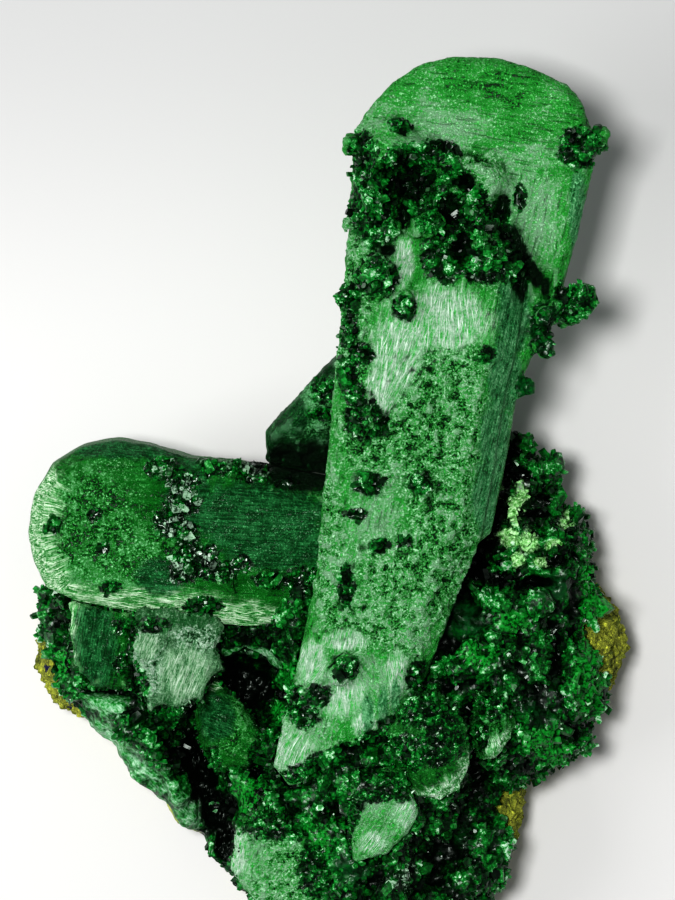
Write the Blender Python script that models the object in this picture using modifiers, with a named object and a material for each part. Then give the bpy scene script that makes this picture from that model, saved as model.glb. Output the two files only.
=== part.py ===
"""Malachite after azurite: bladed crystals and a drusy green crust on ochre rock, lying on its back.

Metres, +Z up. The origin is on the surface that the specimen rests on, under the middle of its box.
+Y is the way the tall blade points, and +X is to the right of someone looking down on it.
Outlines, heights and sizes are in millimetres and angles in degrees, up to where a mesh is made.
"""

import math
import random
from collections import namedtuple

import bmesh
import bpy
from mathutils import Matrix, Vector, noise

MM = 0.001

# A tabular crystal: its outline in plan, the middle of its thickness, its lean about X and Y, and its rim
# chamfer. The chamfer is that wide on the side that faces broad_side, and this share of it elsewhere.
Blade = namedtuple(
    "Blade", "outline thickness middle lean chamfer share broad_side", defaults=(1.0, (1, 0, 0))
)

# A lumpy mass: its outline in plan, the heights of its foot, its rim and its level top, how far in from the
# rim that is reached, its rises (x, y, reach in x, reach in y, height), and how finely it is made.
Lumps = namedtuple("Lumps", "outline foot rim top shoulder rises voxel faces roughness", defaults=(1.0,))

# The tall blade is two parallel crystals grown together, the front one lower down on the rear one.
TALL_HEADING = 77.5
TALL_PITCH = 5
TALL_ROLL = 2
TALL_ROOT = (-3, -38)
TALL_FACE_AT_ROOT = 34.5
TALL_FRONT_THICKNESS = 11
TALL_REAR_THICKNESS = 12
TALL_STEP = 5
TALL_FRONT_CHAMFER = 4.4
TALL_FRONT_SHARE = 0.35
TALL_REAR_CHAMFER = 1.3
TALL_FRONT_OUTLINE = [
    (3.5, 46), (10.5, 50.5), (24, 51), (29.5, 46.5), (31.5, 42), (31, 36), (30, 29), (28, 20.5),
    (26.5, 9.5), (24.5, -1), (21, -9.5), (17.5, -19), (12, -32), (3, -38.5), (-6, -41), (-8.5, -37.5),
    (-4.5, -21), (-1.5, -6.5), (-0.5, 4.5), (1, 20.5), (2.6, 36),
]  # fmt: skip
TALL_REAR_OUTLINE = [
    (2.5, -3), (3, 17), (3.5, 46), (4.7, 63.5), (6.5, 66.7), (10.3, 71), (15.3, 74.2), (20, 75.3),
    (27, 75.1), (32.2, 73.6), (38, 71), (40.5, 68.3), (41.9, 63.5), (42.2, 57.5), (39.7, 46.5), (37, 37),
    (33, 28.5), (30.5, 23), (29, 13), (26.2, -0.5), (20, -4),
]  # fmt: skip

# A mound of druse sits on the rear crystal around the end of the front one, with black pits in it.
MOUND = Lumps(
    outline=[
        (5, 62), (8, 64), (12, 63), (17.5, 61), (22.5, 59.5), (26.5, 57), (29.6, 53.3), (29.2, 48),
        (31, 45.4), (30.8, 39), (27, 38.4), (22.4, 37.6), (16, 37.6), (11.4, 40.7), (7.5, 37.6), (4, 38.4),
        (3.6, 51.7),
    ],
    foot=33,
    rim=39,
    top=42,
    shoulder=3,
    rises=[
        (6.5, 50, 3, 4, 1.6),
        (15, 45.5, 3, 3, 1.6),
        (22, 55, 4, 2.5, -1),
        (12.3, 54, 3.4, 2.8, -7),
        (26.2, 49.5, 1.8, 2.8, -5),
        (18.5, 50, 1.6, 2, -4),
    ],
    voxel=1.2,
    faces=260,
    roughness=0.5,
)  # fmt: skip

# The left blade leans away from the tall one, with a broad bevel along its lower side.
LEFT_FACE = 28
LEFT = Blade(
    outline=[
        (-48.4, -0.5), (-47.5, 5.5), (-44.5, 10.5), (-39.5, 13.5), (-34, 14.5), (-28.5, 13.5), (-22, 11.5),
        (-11, 10.3), (6, 7), (7, -11), (-1, -14.5), (-12.5, -16), (-20.5, -15), (-31.5, -13.5),
        (-40.5, -11.8), (-45.5, -9.5), (-47.6, -5),
    ],
    thickness=15,
    middle=(-20, 0, 20.5),
    lean=(3, 2),
    chamfer=4,
    share=0.55,
    broad_side=(0, -1, 0),
)  # fmt: skip

# The small blade behind both, with a square chisel end.
REAR = Blade(
    outline=[(1.5, 28), (-10, 15.8), (-9.8, 9.2), (3, 7.6), (12, -8), (26, 2), (14, 18)],
    thickness=12,
    middle=(4, 10, 17),
    lean=(6, -4),
    chamfer=5.6,
    share=0.3,
    broad_side=(0, -1, 0),
)

# Lesser blades that stand out of the crust, each with one end sunk in it.
LESSER_BLADES = {
    "shelf_blade": Blade(
        outline=[(-42, -12.5), (-41.3, -22.5), (-38, -26), (-32.4, -26.5), (-31.9, -12)],
        thickness=10,
        middle=(-37, -20, 20.3),
        lean=(-5, 3),
        chamfer=0.8,
    ),
    "broken_blade": Blade(
        outline=[
            (-31.2, -13.5), (-31.6, -22), (-30.4, -25.6), (-28.8, -30), (-26.4, -28.8), (-24.6, -31),
            (-22.4, -28), (-20.6, -28.4), (-19.4, -24.6), (-17, -23.2), (-18.2, -19.8), (-16.8, -16.6),
            (-18.4, -13.2), (-24, -12),
        ],
        thickness=11,
        middle=(-25, -21.5, 21.5),
        lean=(-5, 4),
        chamfer=0.7,
    ),
    "hollow_blade": Blade(
        outline=[
            (-21.5, -27), (-18.8, -25), (-13, -30), (-9.8, -36), (-11.5, -40), (-18, -40), (-21, -35),
        ],
        thickness=9,
        middle=(-16.2, -33.3, 16.5),
        lean=(-16, -8),
        chamfer=1.4,
    ),
    "lower_left_blade": Blade(
        outline=[
            (-14, -47.3), (-15, -54.2), (-12, -58), (-9, -60.5), (-1, -59.5), (2, -54), (-4, -47),
            (-10, -44),
        ],
        thickness=11,
        middle=(-8, -53, 28),
        lean=(9, -8),
        chamfer=1.2,
    ),
    "lower_middle_blade": Blade(
        outline=[
            (4, -52.3), (6.3, -52.2), (9.3, -50.8), (12.9, -47.8), (14, -44.2), (12, -38), (4, -38),
            (3, -44),
        ],
        thickness=9,
        middle=(8, -46, 31.3),
        lean=(10, 4),
        chamfer=0.8,
    ),
    "rim_blade": Blade(
        outline=[
            (9.5, -32), (12.5, -40), (14.4, -42.2), (17.6, -43.2), (20.6, -41.4), (22.3, -37), (22, -31),
            (18, -26), (12, -26),
        ],
        thickness=9,
        middle=(16.5, -35.5, 32.3),
        lean=(12, 6),
        chamfer=2.2,
    ),
    "small_rim_blade": Blade(
        outline=[
            (23, -32.5), (24.3, -37), (26.6, -36.6), (29, -33.6), (29.8, -31), (28.5, -26.5), (24, -26),
        ],
        thickness=7,
        middle=(26.5, -31.9, 29.6),
        lean=(9, 9),
        chamfer=1.6,
    ),
}  # fmt: skip

# Rock: the ochre host, sawn flat underneath, bulging out on the left, the right and at the lower right.
ROCK = Lumps(
    outline=[
        (-44.5, -9), (-47.8, -18), (-48.8, -24), (-47, -28.5), (-42.5, -31), (-35.6, -35), (-28.8, -43),
        (-20.5, -52), (-14, -61), (-6, -69), (3, -74.6), (14, -75), (22.5, -69), (26, -62), (29.5, -55),
        (31.8, -50), (32.2, -44.5), (36.5, -39.5), (42, -33), (47.5, -27), (49.3, -20), (47, -13),
        (42.5, -8), (39.5, -2), (34.5, 2.5), (33.5, 7), (30, 8.5), (22, 7), (14, 2), (0, -2), (-21, -3),
        (-36, -5),
    ],
    foot=-3,
    rim=8,
    top=14,
    shoulder=6,
    rises=[
        (-46, -24, 5, 7, 6),
        (46, -19, 5, 10, 8),
        (31.5, -48, 4, 6, 7),
        (-12.5, -27.5, 9, 11, -8),
        (-21, -35, 6, 9, -5),
        (-18, -47, 6, 10, -9),
        (25, -52, 5, 8, -4),
    ],
    voxel=1.8,
    faces=560,
)  # fmt: skip

# Crust: the green drusy mass over the rock, with its swellings, and the hollows between them.
CRUST = Lumps(
    outline=[
        (-46.5, -9), (-47.5, -16), (-45, -22.5), (-42.5, -29.5), (-35.5, -35), (-29.2, -43.2),
        (-20.8, -52), (-15, -59.8), (-7.5, -69), (2, -75), (13, -74.7), (21, -68), (25.6, -60.5),
        (29.6, -57), (29.2, -51), (27, -44.5), (32, -40.8), (38.5, -39.5), (43.5, -33), (45.5, -27),
        (45, -18), (43.6, -6), (42.4, 1.2), (39, 2), (35.6, 3.6), (35.6, 6.2), (37.6, 7.4), (36.6, 10.6),
        (31.5, 13), (26, 8.5), (16.5, 3.5),
        (2, -1.5), (-21, -4), (-37, -6.5),
    ],
    foot=7,
    rim=16,
    top=25,
    shoulder=6,
    rises=[
        (8.5, -41, 17, 14, 10),
        (1, -58, 14, 11, 6),
        (28, -20, 9, 13, 6),
        (36, -26, 8, 8, 3),
        (-5, -19, 5, 9, 6),
        (-3, -31, 5, 7, 6),
        (34, 5, 6, 6, 3),
        (-31, -33, 6, 5, 2),
        (-12.5, -27.5, 6, 8, -15.5),
        (-21.5, -33, 4, 8, -9),
        (-18.5, -45, 4, 9, -12),
        (-12, -57, 4, 7, -10),
        (24, 0, 3.5, 8, -9),
        (23, -46, 4, 8, -9),
        (17, -54, 5, 6, -8),
        (-43.5, -16, 2.5, 4, -5),
    ],
    voxel=1.5,
    faces=1300,
)  # fmt: skip

# The deep hollow under an arched edge, left of the tall blade's foot.
HOLLOW_MIDDLE = (-13.6, -25.8, 15.8)
HOLLOW_REACH = (5.8, 6.6, 6)
HOLLOW_TILT = 20

# Blocky crystals in groups: x and y of the middle, height over the face or crust there, the group's reach,
# how many crystals, and the size of the largest, which is the middle one.
TALL_GROUPS = [
    (40.8, 60.4, -5, 3, 7, 4.6),
    (39.2, 35.6, -6.5, 1.2, 2, 7.2),
    (34.6, 33.6, -4.5, 1.8, 4, 4.4),
    (34, 29.4, -5, 0.8, 2, 4.6),
    (31.4, 22.6, -5, 0.8, 2, 3.6),
    (3.6, 60.6, -3, 1, 2, 3.2),
    (3.2, 48.2, -2.6, 0.6, 1, 2.4),
    (7, 51.8, -0.4, 2, 3, 4.6),
    (10.6, 63.2, -3.8, 2.4, 3, 3.4),
    (9.6, 46.6, 0, 2, 3, 4.4),
    (15.2, 47.6, 0.4, 0.6, 1, 5.6),
    (21.5, 46.5, 0, 2.6, 4, 3.6),
    (26, 43.2, 0, 2.4, 3, 3.4),
    (18.5, 55.5, -2.6, 3, 4, 3.6),
    (26.6, 53.6, -3.4, 2, 3, 3),
    (7.6, 39.8, 0.2, 0.4, 1, 6.6),
    (12.4, 35.8, 0, 1.4, 2, 4),
    (2.6, 35.6, -1.6, 1, 2, 3),
    (3.2, 25.6, -1.2, 1.6, 3, 3),
    (4.4, 30.2, -0.4, 1.4, 2, 3),
    (5.6, 17.2, 0, 1.2, 2, 4.2),
    (6.8, 7, -0.2, 1, 2, 3.2),
    (14.8, 6.8, -0.3, 0.8, 1, 3.4),
    (24.6, 27, -0.4, 0.8, 1, 3),
    (16, 19, -0.8, 0.6, 1, 2.6),
    (2.6, -22.2, 0, 0.4, 1, 4.8),
]
LEFT_GROUPS = [
    (-26, 9, 0, 2.2, 4, 3.2),
    (-24, 4, 0, 2, 3, 2.8),
    (-23.2, -1, 0, 2, 3, 3),
    (-22.4, -6, 0, 2.2, 3, 2.8),
    (-15.5, 8.6, -0.4, 2.2, 3, 3.2),
    (-10.5, 8, -0.6, 1.6, 2, 2.8),
    (-43.5, 1, -0.6, 1.2, 1, 3),
    (-36.3, -2, -0.4, 1, 1, 2.6),
    (-16.5, -8.5, 0, 2, 3, 2.8),
    (-9.5, -9, -0.4, 1.6, 2, 3),
]
CRUST_GROUPS = [
    (36.2, 10.2, 1, 0.4, 1, 4.8),
    (38, 6.6, 0, 0.3, 1, 2.4),
    (31.5, 12.5, 1, 2.2, 3, 4.6),
    (32.5, 5, 0, 2, 3, 5),
    (40.8, 0.2, 0, 1.4, 3, 4),
    (38, -6, 0, 3, 3, 5),
    (42, -13, 0, 3, 3, 4.6),
    (27.5, -10.5, 0, 3, 3, 5.4),
    (33.5, -12, 0, 1, 1, 5.6),
    (30, -20, 0, 4, 4, 5),
    (21.5, -22, 0, 1, 1, 6),
    (38, -24, 0, 3.6, 4, 5),
    (33, -33, 0, 3.4, 4, 4.6),
    (39.5, -35, 0, 2.6, 3, 5),
    (5, -43, 0, 4, 4, 4.6),
    (-4, -39, 0, 3.4, 4, 4.6),
    (-9, -46, 0, 1, 2, 5.6),
    (10, -57, 0, 4, 4, 5),
    (20, -62, 0, 3.4, 3, 5),
    (0, -64, 0, 4, 3, 5),
    (-9, -67, 0, 2.6, 2, 4.2),
    (12, -69, 0, 3, 3, 5),
    (-5.5, -15, 0, 2, 3, 4),
    (-5, -25.5, 0, 2, 3, 5),
    (-33, -31.5, 0, 2.4, 4, 4.6),
    (-27.5, -36, 0, 2, 3, 4),
    (-43, -12, 0, 2, 2, 4),
    (-44, -22, 0, 2, 2, 4),
    (-19, -41, 0, 2, 2, 4),
    (31, -43, 0, 2, 2, 4.4),
]
BLOCK_WIDTH = 0.8
BLOCK_TAPER = 0.72
BLOCK_LIFT = 0.18
SMALLER_BLOCKS = (0.5, 0.8)
STEEPEST_BLOCK = 75
LARGE_SIDES = 6
SMALL_SIDES = 4

# Roughness of the lumpy masses: the size and depth of the coarse lumps and of the fine ones.
COARSE_LUMPS = 7
COARSE_DEPTH = 1.6
FINE_LUMPS = 2.8
FINE_DEPTH = 1.1
FINE_SIDEWAYS = 0.3
NOISE_APART = [(9.3, 21.5, 7.9), (31.1, 4.7, 15.3), (12.6, 42.2, 27.8)]
THINNEST = 3.5

# Seats: how far one piece is cut back from the next, and more where both surfaces are lumpy.
SEAT_GAP = 0.35
LUMPY_SEAT_GAP = 0.8
STEEPEST_GROWTH = 2.5

WELD = 0.01 * MM
FLAT_ANGLE = math.radians(1)
SMOOTH_ANGLE = math.radians(28)
BROAD_REACH = 0.6
UPRIGHT = 0.5

OCHRE = (0.36, 0.27, 0.05)
DRUSE_GREEN = (0.006, 0.05, 0.014)
PALE_GREEN = (0.07, 0.30, 0.10)
DEEP_GREEN = (0.01, 0.13, 0.03)
STONE_METALLIC = 0.0
FINISHES = {"tall_blade": (PALE_GREEN, 0.5), "rock_base": (OCHRE, 0.9), "drusy_crust": (DRUSE_GREEN, 0.35)}
BLADE_FINISH = (DEEP_GREEN, 0.4)


def clear_scene():
    for obj in list(bpy.data.objects):
        bpy.data.objects.remove(obj, do_unlink=True)


def material(name, colour, roughness):
    made = bpy.data.materials.new(name)
    made.use_nodes = True
    shader = made.node_tree.nodes["Principled BSDF"]
    shader.inputs["Base Color"].default_value = (*colour, 1)
    shader.inputs["Roughness"].default_value = roughness
    shader.inputs["Metallic"].default_value = STONE_METALLIC
    return made


def temporary_object(data):
    obj = bpy.data.objects.new("temporary", data)
    bpy.context.scene.collection.objects.link(obj)
    return obj


def evaluated_mesh(obj):
    """The object's mesh as its modifiers leave it. The object itself is removed."""
    bpy.context.view_layer.update()
    graph = bpy.context.evaluated_depsgraph_get()
    mesh = bpy.data.meshes.new_from_object(obj.evaluated_get(graph))
    mesh.transform(obj.matrix_world)
    bpy.data.objects.remove(obj, do_unlink=True)
    return mesh


def slab(outline, thickness):
    """A flat slab with this outline, its middle at z = 0, with one face on each side."""
    curve = bpy.data.curves.new("outline", "CURVE")
    curve.dimensions = "2D"
    curve.fill_mode = "BOTH"
    curve.extrude = thickness * MM / 2
    spline = curve.splines.new("POLY")
    spline.points.add(len(outline) - 1)
    for point, (x, y) in zip(spline.points, outline):
        point.co = (x * MM, y * MM, 0, 1)
    spline.use_cyclic_u = True
    mesh = evaluated_mesh(temporary_object(curve))
    work = bmesh.new()
    work.from_mesh(mesh)
    bmesh.ops.remove_doubles(work, verts=work.verts, dist=WELD)
    bmesh.ops.dissolve_limit(work, angle_limit=FLAT_ANGLE, verts=work.verts, edges=work.edges)
    bmesh.ops.recalc_face_normals(work, faces=work.faces)
    work.to_mesh(mesh)
    work.free()
    return mesh


def chamfered(mesh, width, share, broad_side):
    """The slab with its rims cut back to flat bevels, the full width only on its broad side."""
    work = bmesh.new()
    work.from_mesh(mesh)
    work.normal_update()
    weights = work.edges.layers.float.new("bevel_weight_edge")
    for edge in work.edges:
        walls = [face.normal for face in edge.link_faces if abs(face.normal.z) < UPRIGHT]
        if len(walls) == 1:
            edge[weights] = 1 if walls[0].dot(Vector(broad_side)) > BROAD_REACH else share
    work.to_mesh(mesh)
    work.free()
    obj = temporary_object(mesh)
    chamfer = obj.modifiers.new("chamfer", "BEVEL")
    chamfer.width = width * MM
    chamfer.segments = 1
    chamfer.limit_method = "WEIGHT"
    return evaluated_mesh(obj)


def tabular_crystal(blade, lean):
    """The blade's slab, chamfered, leant about its middle and put in its place."""
    mid_x, mid_y, mid_z = blade.middle
    outline = [(x - mid_x, y - mid_y) for x, y in blade.outline]
    mesh = chamfered(slab(outline, blade.thickness), blade.chamfer, blade.share, blade.broad_side)
    mesh.transform(Matrix.Translation(Vector((mid_x, mid_y, mid_z)) * MM) @ lean)
    return mesh


def leant(blade):
    about_x, about_y = (math.radians(angle) for angle in blade.lean)
    return tabular_crystal(blade, Matrix.Rotation(about_x, 4, "X") @ Matrix.Rotation(about_y, 4, "Y"))


def boolean(mesh, others, operation):
    """The mesh with the others joined to it or cut from it."""
    tools = bpy.data.collections.new("tools")
    bpy.context.scene.collection.children.link(tools)
    for other in others:
        tools.objects.link(bpy.data.objects.new("tool", other))
    body = temporary_object(mesh)
    modifier = body.modifiers.new("boolean", "BOOLEAN")
    modifier.operation = operation
    modifier.operand_type = "COLLECTION"
    modifier.collection = tools
    modifier.solver = "EXACT"
    made = evaluated_mesh(body)
    for obj in list(tools.objects):
        bpy.data.objects.remove(obj, do_unlink=True)
    bpy.data.collections.remove(tools)
    return made


def grown(mesh, margin):
    """A copy whose faces stand a little proud, to cut a seat that keeps a gap."""
    work = bmesh.new()
    work.from_mesh(mesh)
    bmesh.ops.remove_doubles(work, verts=work.verts, dist=WELD)
    bmesh.ops.triangulate(work, faces=work.faces)
    work.normal_update()
    moves = [vert.normal * min(vert.calc_shell_factor(), STEEPEST_GROWTH) for vert in work.verts]
    for vert, move in zip(work.verts, moves):
        vert.co += move * margin * MM
    copy = bpy.data.meshes.new("cutter")
    work.to_mesh(copy)
    work.free()
    return copy


def main_piece(mesh):
    """The mesh without the crumbs that a cut leaves loose beside its largest piece."""
    work = bmesh.new()
    work.from_mesh(mesh)
    left = set(work.verts)
    pieces = []
    while left:
        stack = [left.pop()]
        piece = []
        while stack:
            vert = stack.pop()
            piece.append(vert)
            for edge in vert.link_edges:
                other = edge.other_vert(vert)
                if other in left:
                    left.remove(other)
                    stack.append(other)
        pieces.append(piece)
    pieces.sort(key=len)
    crumbs = [vert for piece in pieces[:-1] for vert in piece]
    bmesh.ops.delete(work, geom=crumbs, context="VERTS")
    work.to_mesh(mesh)
    work.free()
    return mesh


def distance_inside(x, y, outline):
    """How far a point is from the outline's nearest side."""
    nearest = math.inf
    for (x0, y0), (x1, y1) in zip(outline, outline[1:] + outline[:1]):
        dx, dy = x1 - x0, y1 - y0
        along = ((x - x0) * dx + (y - y0) * dy) / (dx * dx + dy * dy)
        along = min(1, max(0, along))
        nearest = min(nearest, math.hypot(x - x0 - along * dx, y - y0 - along * dy))
    return nearest


def top_height(x, y, lumps):
    """The upper surface: low at the outline, level inside it, with swellings and hollows."""
    share = min(1, distance_inside(x, y, lumps.outline) / lumps.shoulder)
    height = lumps.rim + (lumps.top - lumps.rim) * math.sin(share * math.pi / 2)
    for mid_x, mid_y, reach_x, reach_y, rise in lumps.rises:
        away = ((x - mid_x) / reach_x) ** 2 + ((y - mid_y) / reach_y) ** 2
        height += rise * math.exp(-away)
    return height


def wander(place):
    """A smoothly changing direction and length, from three separate parts of one noise."""
    return Vector([noise.noise(place + Vector(apart)) for apart in NOISE_APART])


def lumpy_mass(lumps):
    """A slab raised to its swellings, then roughened and brought down to a few flat faces."""
    thickness = 10
    obj = temporary_object(slab(lumps.outline, thickness))
    remesh = obj.modifiers.new("even faces", "REMESH")
    remesh.mode = "VOXEL"
    remesh.voxel_size = lumps.voxel * MM
    mesh = evaluated_mesh(obj)
    for vert in mesh.vertices:
        place = vert.co / MM
        share = min(1, max(0, place.z / thickness + 0.5))
        top = top_height(place.x, place.y, lumps)
        place.z = lumps.foot + share * max(top - lumps.foot, THINNEST)
        coarse = wander(place / COARSE_LUMPS)
        fine = wander(place / FINE_LUMPS)
        fine.xy *= FINE_SIDEWAYS
        place += (coarse * COARSE_DEPTH + fine * FINE_DEPTH) * lumps.roughness
        vert.co = place * MM
    obj = temporary_object(mesh)
    decimate = obj.modifiers.new("few faces", "DECIMATE")
    decimate.ratio = lumps.faces / (2 * len(mesh.polygons))
    return evaluated_mesh(obj)


def blocky_crystal(centre, size, sides, chance):
    """A short prism that tapers to a flat end, turned any way."""
    radius = size * MM / 2
    work = bmesh.new()
    bmesh.ops.create_cone(
        work, cap_ends=True, segments=sides, radius1=radius, radius2=radius * BLOCK_TAPER, depth=size * MM
    )
    turn = Matrix.Rotation(chance.uniform(0, math.tau), 4, "Z")
    tilt = Matrix.Rotation(chance.uniform(0, math.radians(STEEPEST_BLOCK)), 4, "X")
    spin = Matrix.Rotation(chance.uniform(0, math.tau), 4, "Z")
    narrow = Matrix.Diagonal((1, BLOCK_WIDTH, 1, 1))
    work.transform(Matrix.Translation(centre * MM) @ turn @ tilt @ spin @ narrow)
    mesh = bpy.data.meshes.new("blocky crystal")
    work.to_mesh(mesh)
    work.free()
    return mesh


def crystal_groups(groups, face, seed):
    """The blocky crystals of each group, on the surface whose height face gives."""
    chance = random.Random(seed)
    made = []
    for group_x, group_y, proud, reach, count, largest in groups:
        for number in range(count):
            stray = reach if number else 0
            x = group_x + chance.uniform(-stray, stray)
            y = group_y + chance.uniform(-stray, stray)
            size = largest * (chance.uniform(*SMALLER_BLOCKS) if number else 1)
            centre = Vector((x, y, face(x, y) + proud + size * BLOCK_LIFT))
            made.append(blocky_crystal(centre, size, SMALL_SIDES if number else LARGE_SIDES, chance))
    return made


def tall_axes():
    """The tall blade's own directions in plan: along it, and across it to the right."""
    heading = math.radians(TALL_HEADING)
    along = Vector((math.cos(heading), math.sin(heading), 0))
    across = Vector((math.sin(heading), -math.cos(heading), 0))
    return along, across


def tall_face(x, y):
    """The height of the front crystal's face over this point."""
    along, _ = tall_axes()
    from_root = Vector((x - TALL_ROOT[0], y - TALL_ROOT[1], 0))
    return TALL_FACE_AT_ROOT + from_root.dot(along) * math.tan(math.radians(TALL_PITCH))


def tall_blade():
    along, across = tall_axes()
    rise = Matrix.Rotation(math.radians(TALL_PITCH), 4, across)
    lean = rise @ Matrix.Rotation(-math.radians(TALL_ROLL), 4, along)
    front = Blade(
        outline=TALL_FRONT_OUTLINE,
        thickness=TALL_FRONT_THICKNESS,
        middle=(*TALL_ROOT, TALL_FACE_AT_ROOT - TALL_FRONT_THICKNESS / 2),
        lean=None,
        chamfer=TALL_FRONT_CHAMFER,
        share=TALL_FRONT_SHARE,
        broad_side=across,
    )
    rear = Blade(
        outline=TALL_REAR_OUTLINE,
        thickness=TALL_REAR_THICKNESS,
        middle=(*TALL_ROOT, TALL_FACE_AT_ROOT - TALL_STEP - TALL_REAR_THICKNESS / 2),
        lean=None,
        chamfer=TALL_REAR_CHAMFER,
    )
    crystals = crystal_groups(TALL_GROUPS, tall_face, seed=3)
    return [tabular_crystal(front, lean), tabular_crystal(rear, lean), lumpy_mass(MOUND), *crystals]


def left_blade():
    return [leant(LEFT), *crystal_groups(LEFT_GROUPS, lambda x, y: LEFT_FACE, seed=5)]


def rock():
    """The lumpy host rock, sawn flat at z = 0."""
    mesh = lumpy_mass(ROCK)
    work = bmesh.new()
    work.from_mesh(mesh)
    everything = work.verts[:] + work.edges[:] + work.faces[:]
    up = (0, 0, 1)
    sawn = bmesh.ops.bisect_plane(work, geom=everything, plane_co=(0, 0, 0), plane_no=up, clear_inner=True)
    rim = [item for item in sawn["geom_cut"] if isinstance(item, bmesh.types.BMEdge)]
    bmesh.ops.holes_fill(work, edges=rim, sides=0)
    bmesh.ops.recalc_face_normals(work, faces=work.faces)
    work.to_mesh(mesh)
    work.free()
    return [mesh]


def hollow():
    """The egg-shaped space under the arched edge, for cutting."""
    work = bmesh.new()
    bmesh.ops.create_icosphere(work, subdivisions=2, radius=MM)
    tilt = Matrix.Rotation(math.radians(HOLLOW_TILT), 4, "X")
    place = Matrix.Translation(Vector(HOLLOW_MIDDLE) * MM)
    work.transform(place @ tilt @ Matrix.Diagonal((*HOLLOW_REACH, 1)))
    mesh = bpy.data.meshes.new("hollow")
    work.to_mesh(mesh)
    work.free()
    return mesh


def crust():
    """The drusy mass with its hollow, and the blocky crystals that stand out of it."""
    mass = main_piece(boolean(lumpy_mass(CRUST), [hollow()], "DIFFERENCE"))
    return [mass, *crystal_groups(CRUST_GROUPS, lambda x, y: top_height(x, y, CRUST), seed=7)]


def seated(pieces):
    """Each piece's solids grown into one, and cut clear of every piece before it."""
    done = {}
    cutters = []
    for name, solids in pieces.items():
        whole = boolean(solids[0], solids[1:], "UNION") if len(solids) > 1 else solids[0]
        done[name] = main_piece(boolean(whole, cutters, "DIFFERENCE") if cutters else whole)
        margin = LUMPY_SEAT_GAP if name == "rock_base" else SEAT_GAP
        cutters += [grown(solid, margin) for solid in solids]
    return done


def place_piece(name, mesh, collection):
    mesh.name = name
    mesh.materials.clear()
    mesh.materials.append(material(name, *FINISHES.get(name, BLADE_FINISH)))
    mesh.shade_smooth()
    mesh.set_sharp_from_angle(angle=SMOOTH_ANGLE)
    collection.objects.link(bpy.data.objects.new(name, mesh))


def main():
    clear_scene()
    specimen = bpy.data.collections.new("malachite_after_azurite")
    bpy.context.scene.collection.children.link(specimen)
    pieces = {"tall_blade": tall_blade(), "left_blade": left_blade(), "rear_blade": [leant(REAR)]}
    for name, blade in LESSER_BLADES.items():
        pieces[name] = [leant(blade)]
    pieces["rock_base"] = rock()
    pieces["drusy_crust"] = crust()
    for name, mesh in seated(pieces).items():
        place_piece(name, mesh, specimen)


main()
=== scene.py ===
"""Malachite after azurite on ochre rock, lying on its back: the finish of each crystal, crust and stone.

Lengths are in millimetres up to where a mesh or a node takes metres. The lamps and the camera are in metres.
Angles are in degrees.
"""

import math

import bmesh
import bpy
import numpy as np
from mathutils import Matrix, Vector


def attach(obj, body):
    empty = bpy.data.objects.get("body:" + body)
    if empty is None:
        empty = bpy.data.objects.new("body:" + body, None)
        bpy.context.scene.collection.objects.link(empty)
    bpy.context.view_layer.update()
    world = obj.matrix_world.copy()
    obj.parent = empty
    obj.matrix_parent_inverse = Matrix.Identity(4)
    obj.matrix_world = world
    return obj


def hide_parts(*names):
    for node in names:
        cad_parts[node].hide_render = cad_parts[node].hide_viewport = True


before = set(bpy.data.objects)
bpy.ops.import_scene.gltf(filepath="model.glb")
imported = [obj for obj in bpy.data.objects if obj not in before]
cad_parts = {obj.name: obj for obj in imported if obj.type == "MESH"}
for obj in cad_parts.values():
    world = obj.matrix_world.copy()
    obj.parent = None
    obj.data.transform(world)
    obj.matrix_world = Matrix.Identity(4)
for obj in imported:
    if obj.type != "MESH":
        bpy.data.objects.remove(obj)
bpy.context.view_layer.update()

# The white board that the specimen lies on, greyer past the specimen's top, where a fall-off of the light is
# painted on it. It is photographed from straight above, by a lamp high on the left, a weaker window further
# out on that side, and light from all round.
MM = 0.001
BOARD_SIZE = 3000
BOARD_ROUGHNESS = 0.7
BOARD_WHITE = (0.63, 0.625, 0.615)
BOARD_PAINTED_SHADE = (0.49, 0.49, 0.485)
GREY_FROM = 15
GREY_TO = 95
CAMERA_PLACE = (0.0016, 0.0125, 0.6)
CAMERA_LENS = 142.5
LAMP_AIM = Vector((0, 0, 0.02))
SKY_COLOUR = (0.95, 0.97, 1.0, 1)
SKY_STRENGTH = 0.23


def add(tree, kind, inputs=None, **settings):
    """A new node. Each input is a value, or an output of another node that is linked to it."""
    made = tree.nodes.new(kind)
    for name, value in settings.items():
        setattr(made, name, value)
    for name, value in (inputs or {}).items():
        if isinstance(value, bpy.types.NodeSocket):
            tree.links.new(value, made.inputs[name])
        else:
            made.inputs[name].default_value = value
    return made


def mapped(tree, places, **how):
    """The places, scaled or turned as these inputs of a Mapping node say."""
    return add(tree, "ShaderNodeMapping", {"Vector": places, **how}).outputs[0]


def millimetres(tree):
    """The place on the object, in millimetres."""
    place = add(tree, "ShaderNodeTexCoord").outputs["Object"]
    return mapped(tree, place, Scale=(1 / MM,) * 3)


def spread(tree, value, start, end, kind="SMOOTHSTEP"):
    """0 where the value is at its start, up to 1 at its end, and held there past them."""
    inputs = {"Value": value, "From Min": start, "From Max": end}
    return add(tree, "ShaderNodeMapRange", inputs, interpolation_type=kind).outputs["Result"]


def blended(tree, factor, first, second):
    """One colour over another by a factor. Each is a colour or an output."""
    mix = add(tree, "ShaderNodeMix", {"Factor": factor}, data_type="RGBA")
    for socket, colour in (("A", first), ("B", second)):
        if isinstance(colour, bpy.types.NodeSocket):
            tree.links.new(colour, mix.inputs[socket])
        else:
            mix.inputs[socket].default_value = (*colour, 1)
    return mix.outputs["Result"]


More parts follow.
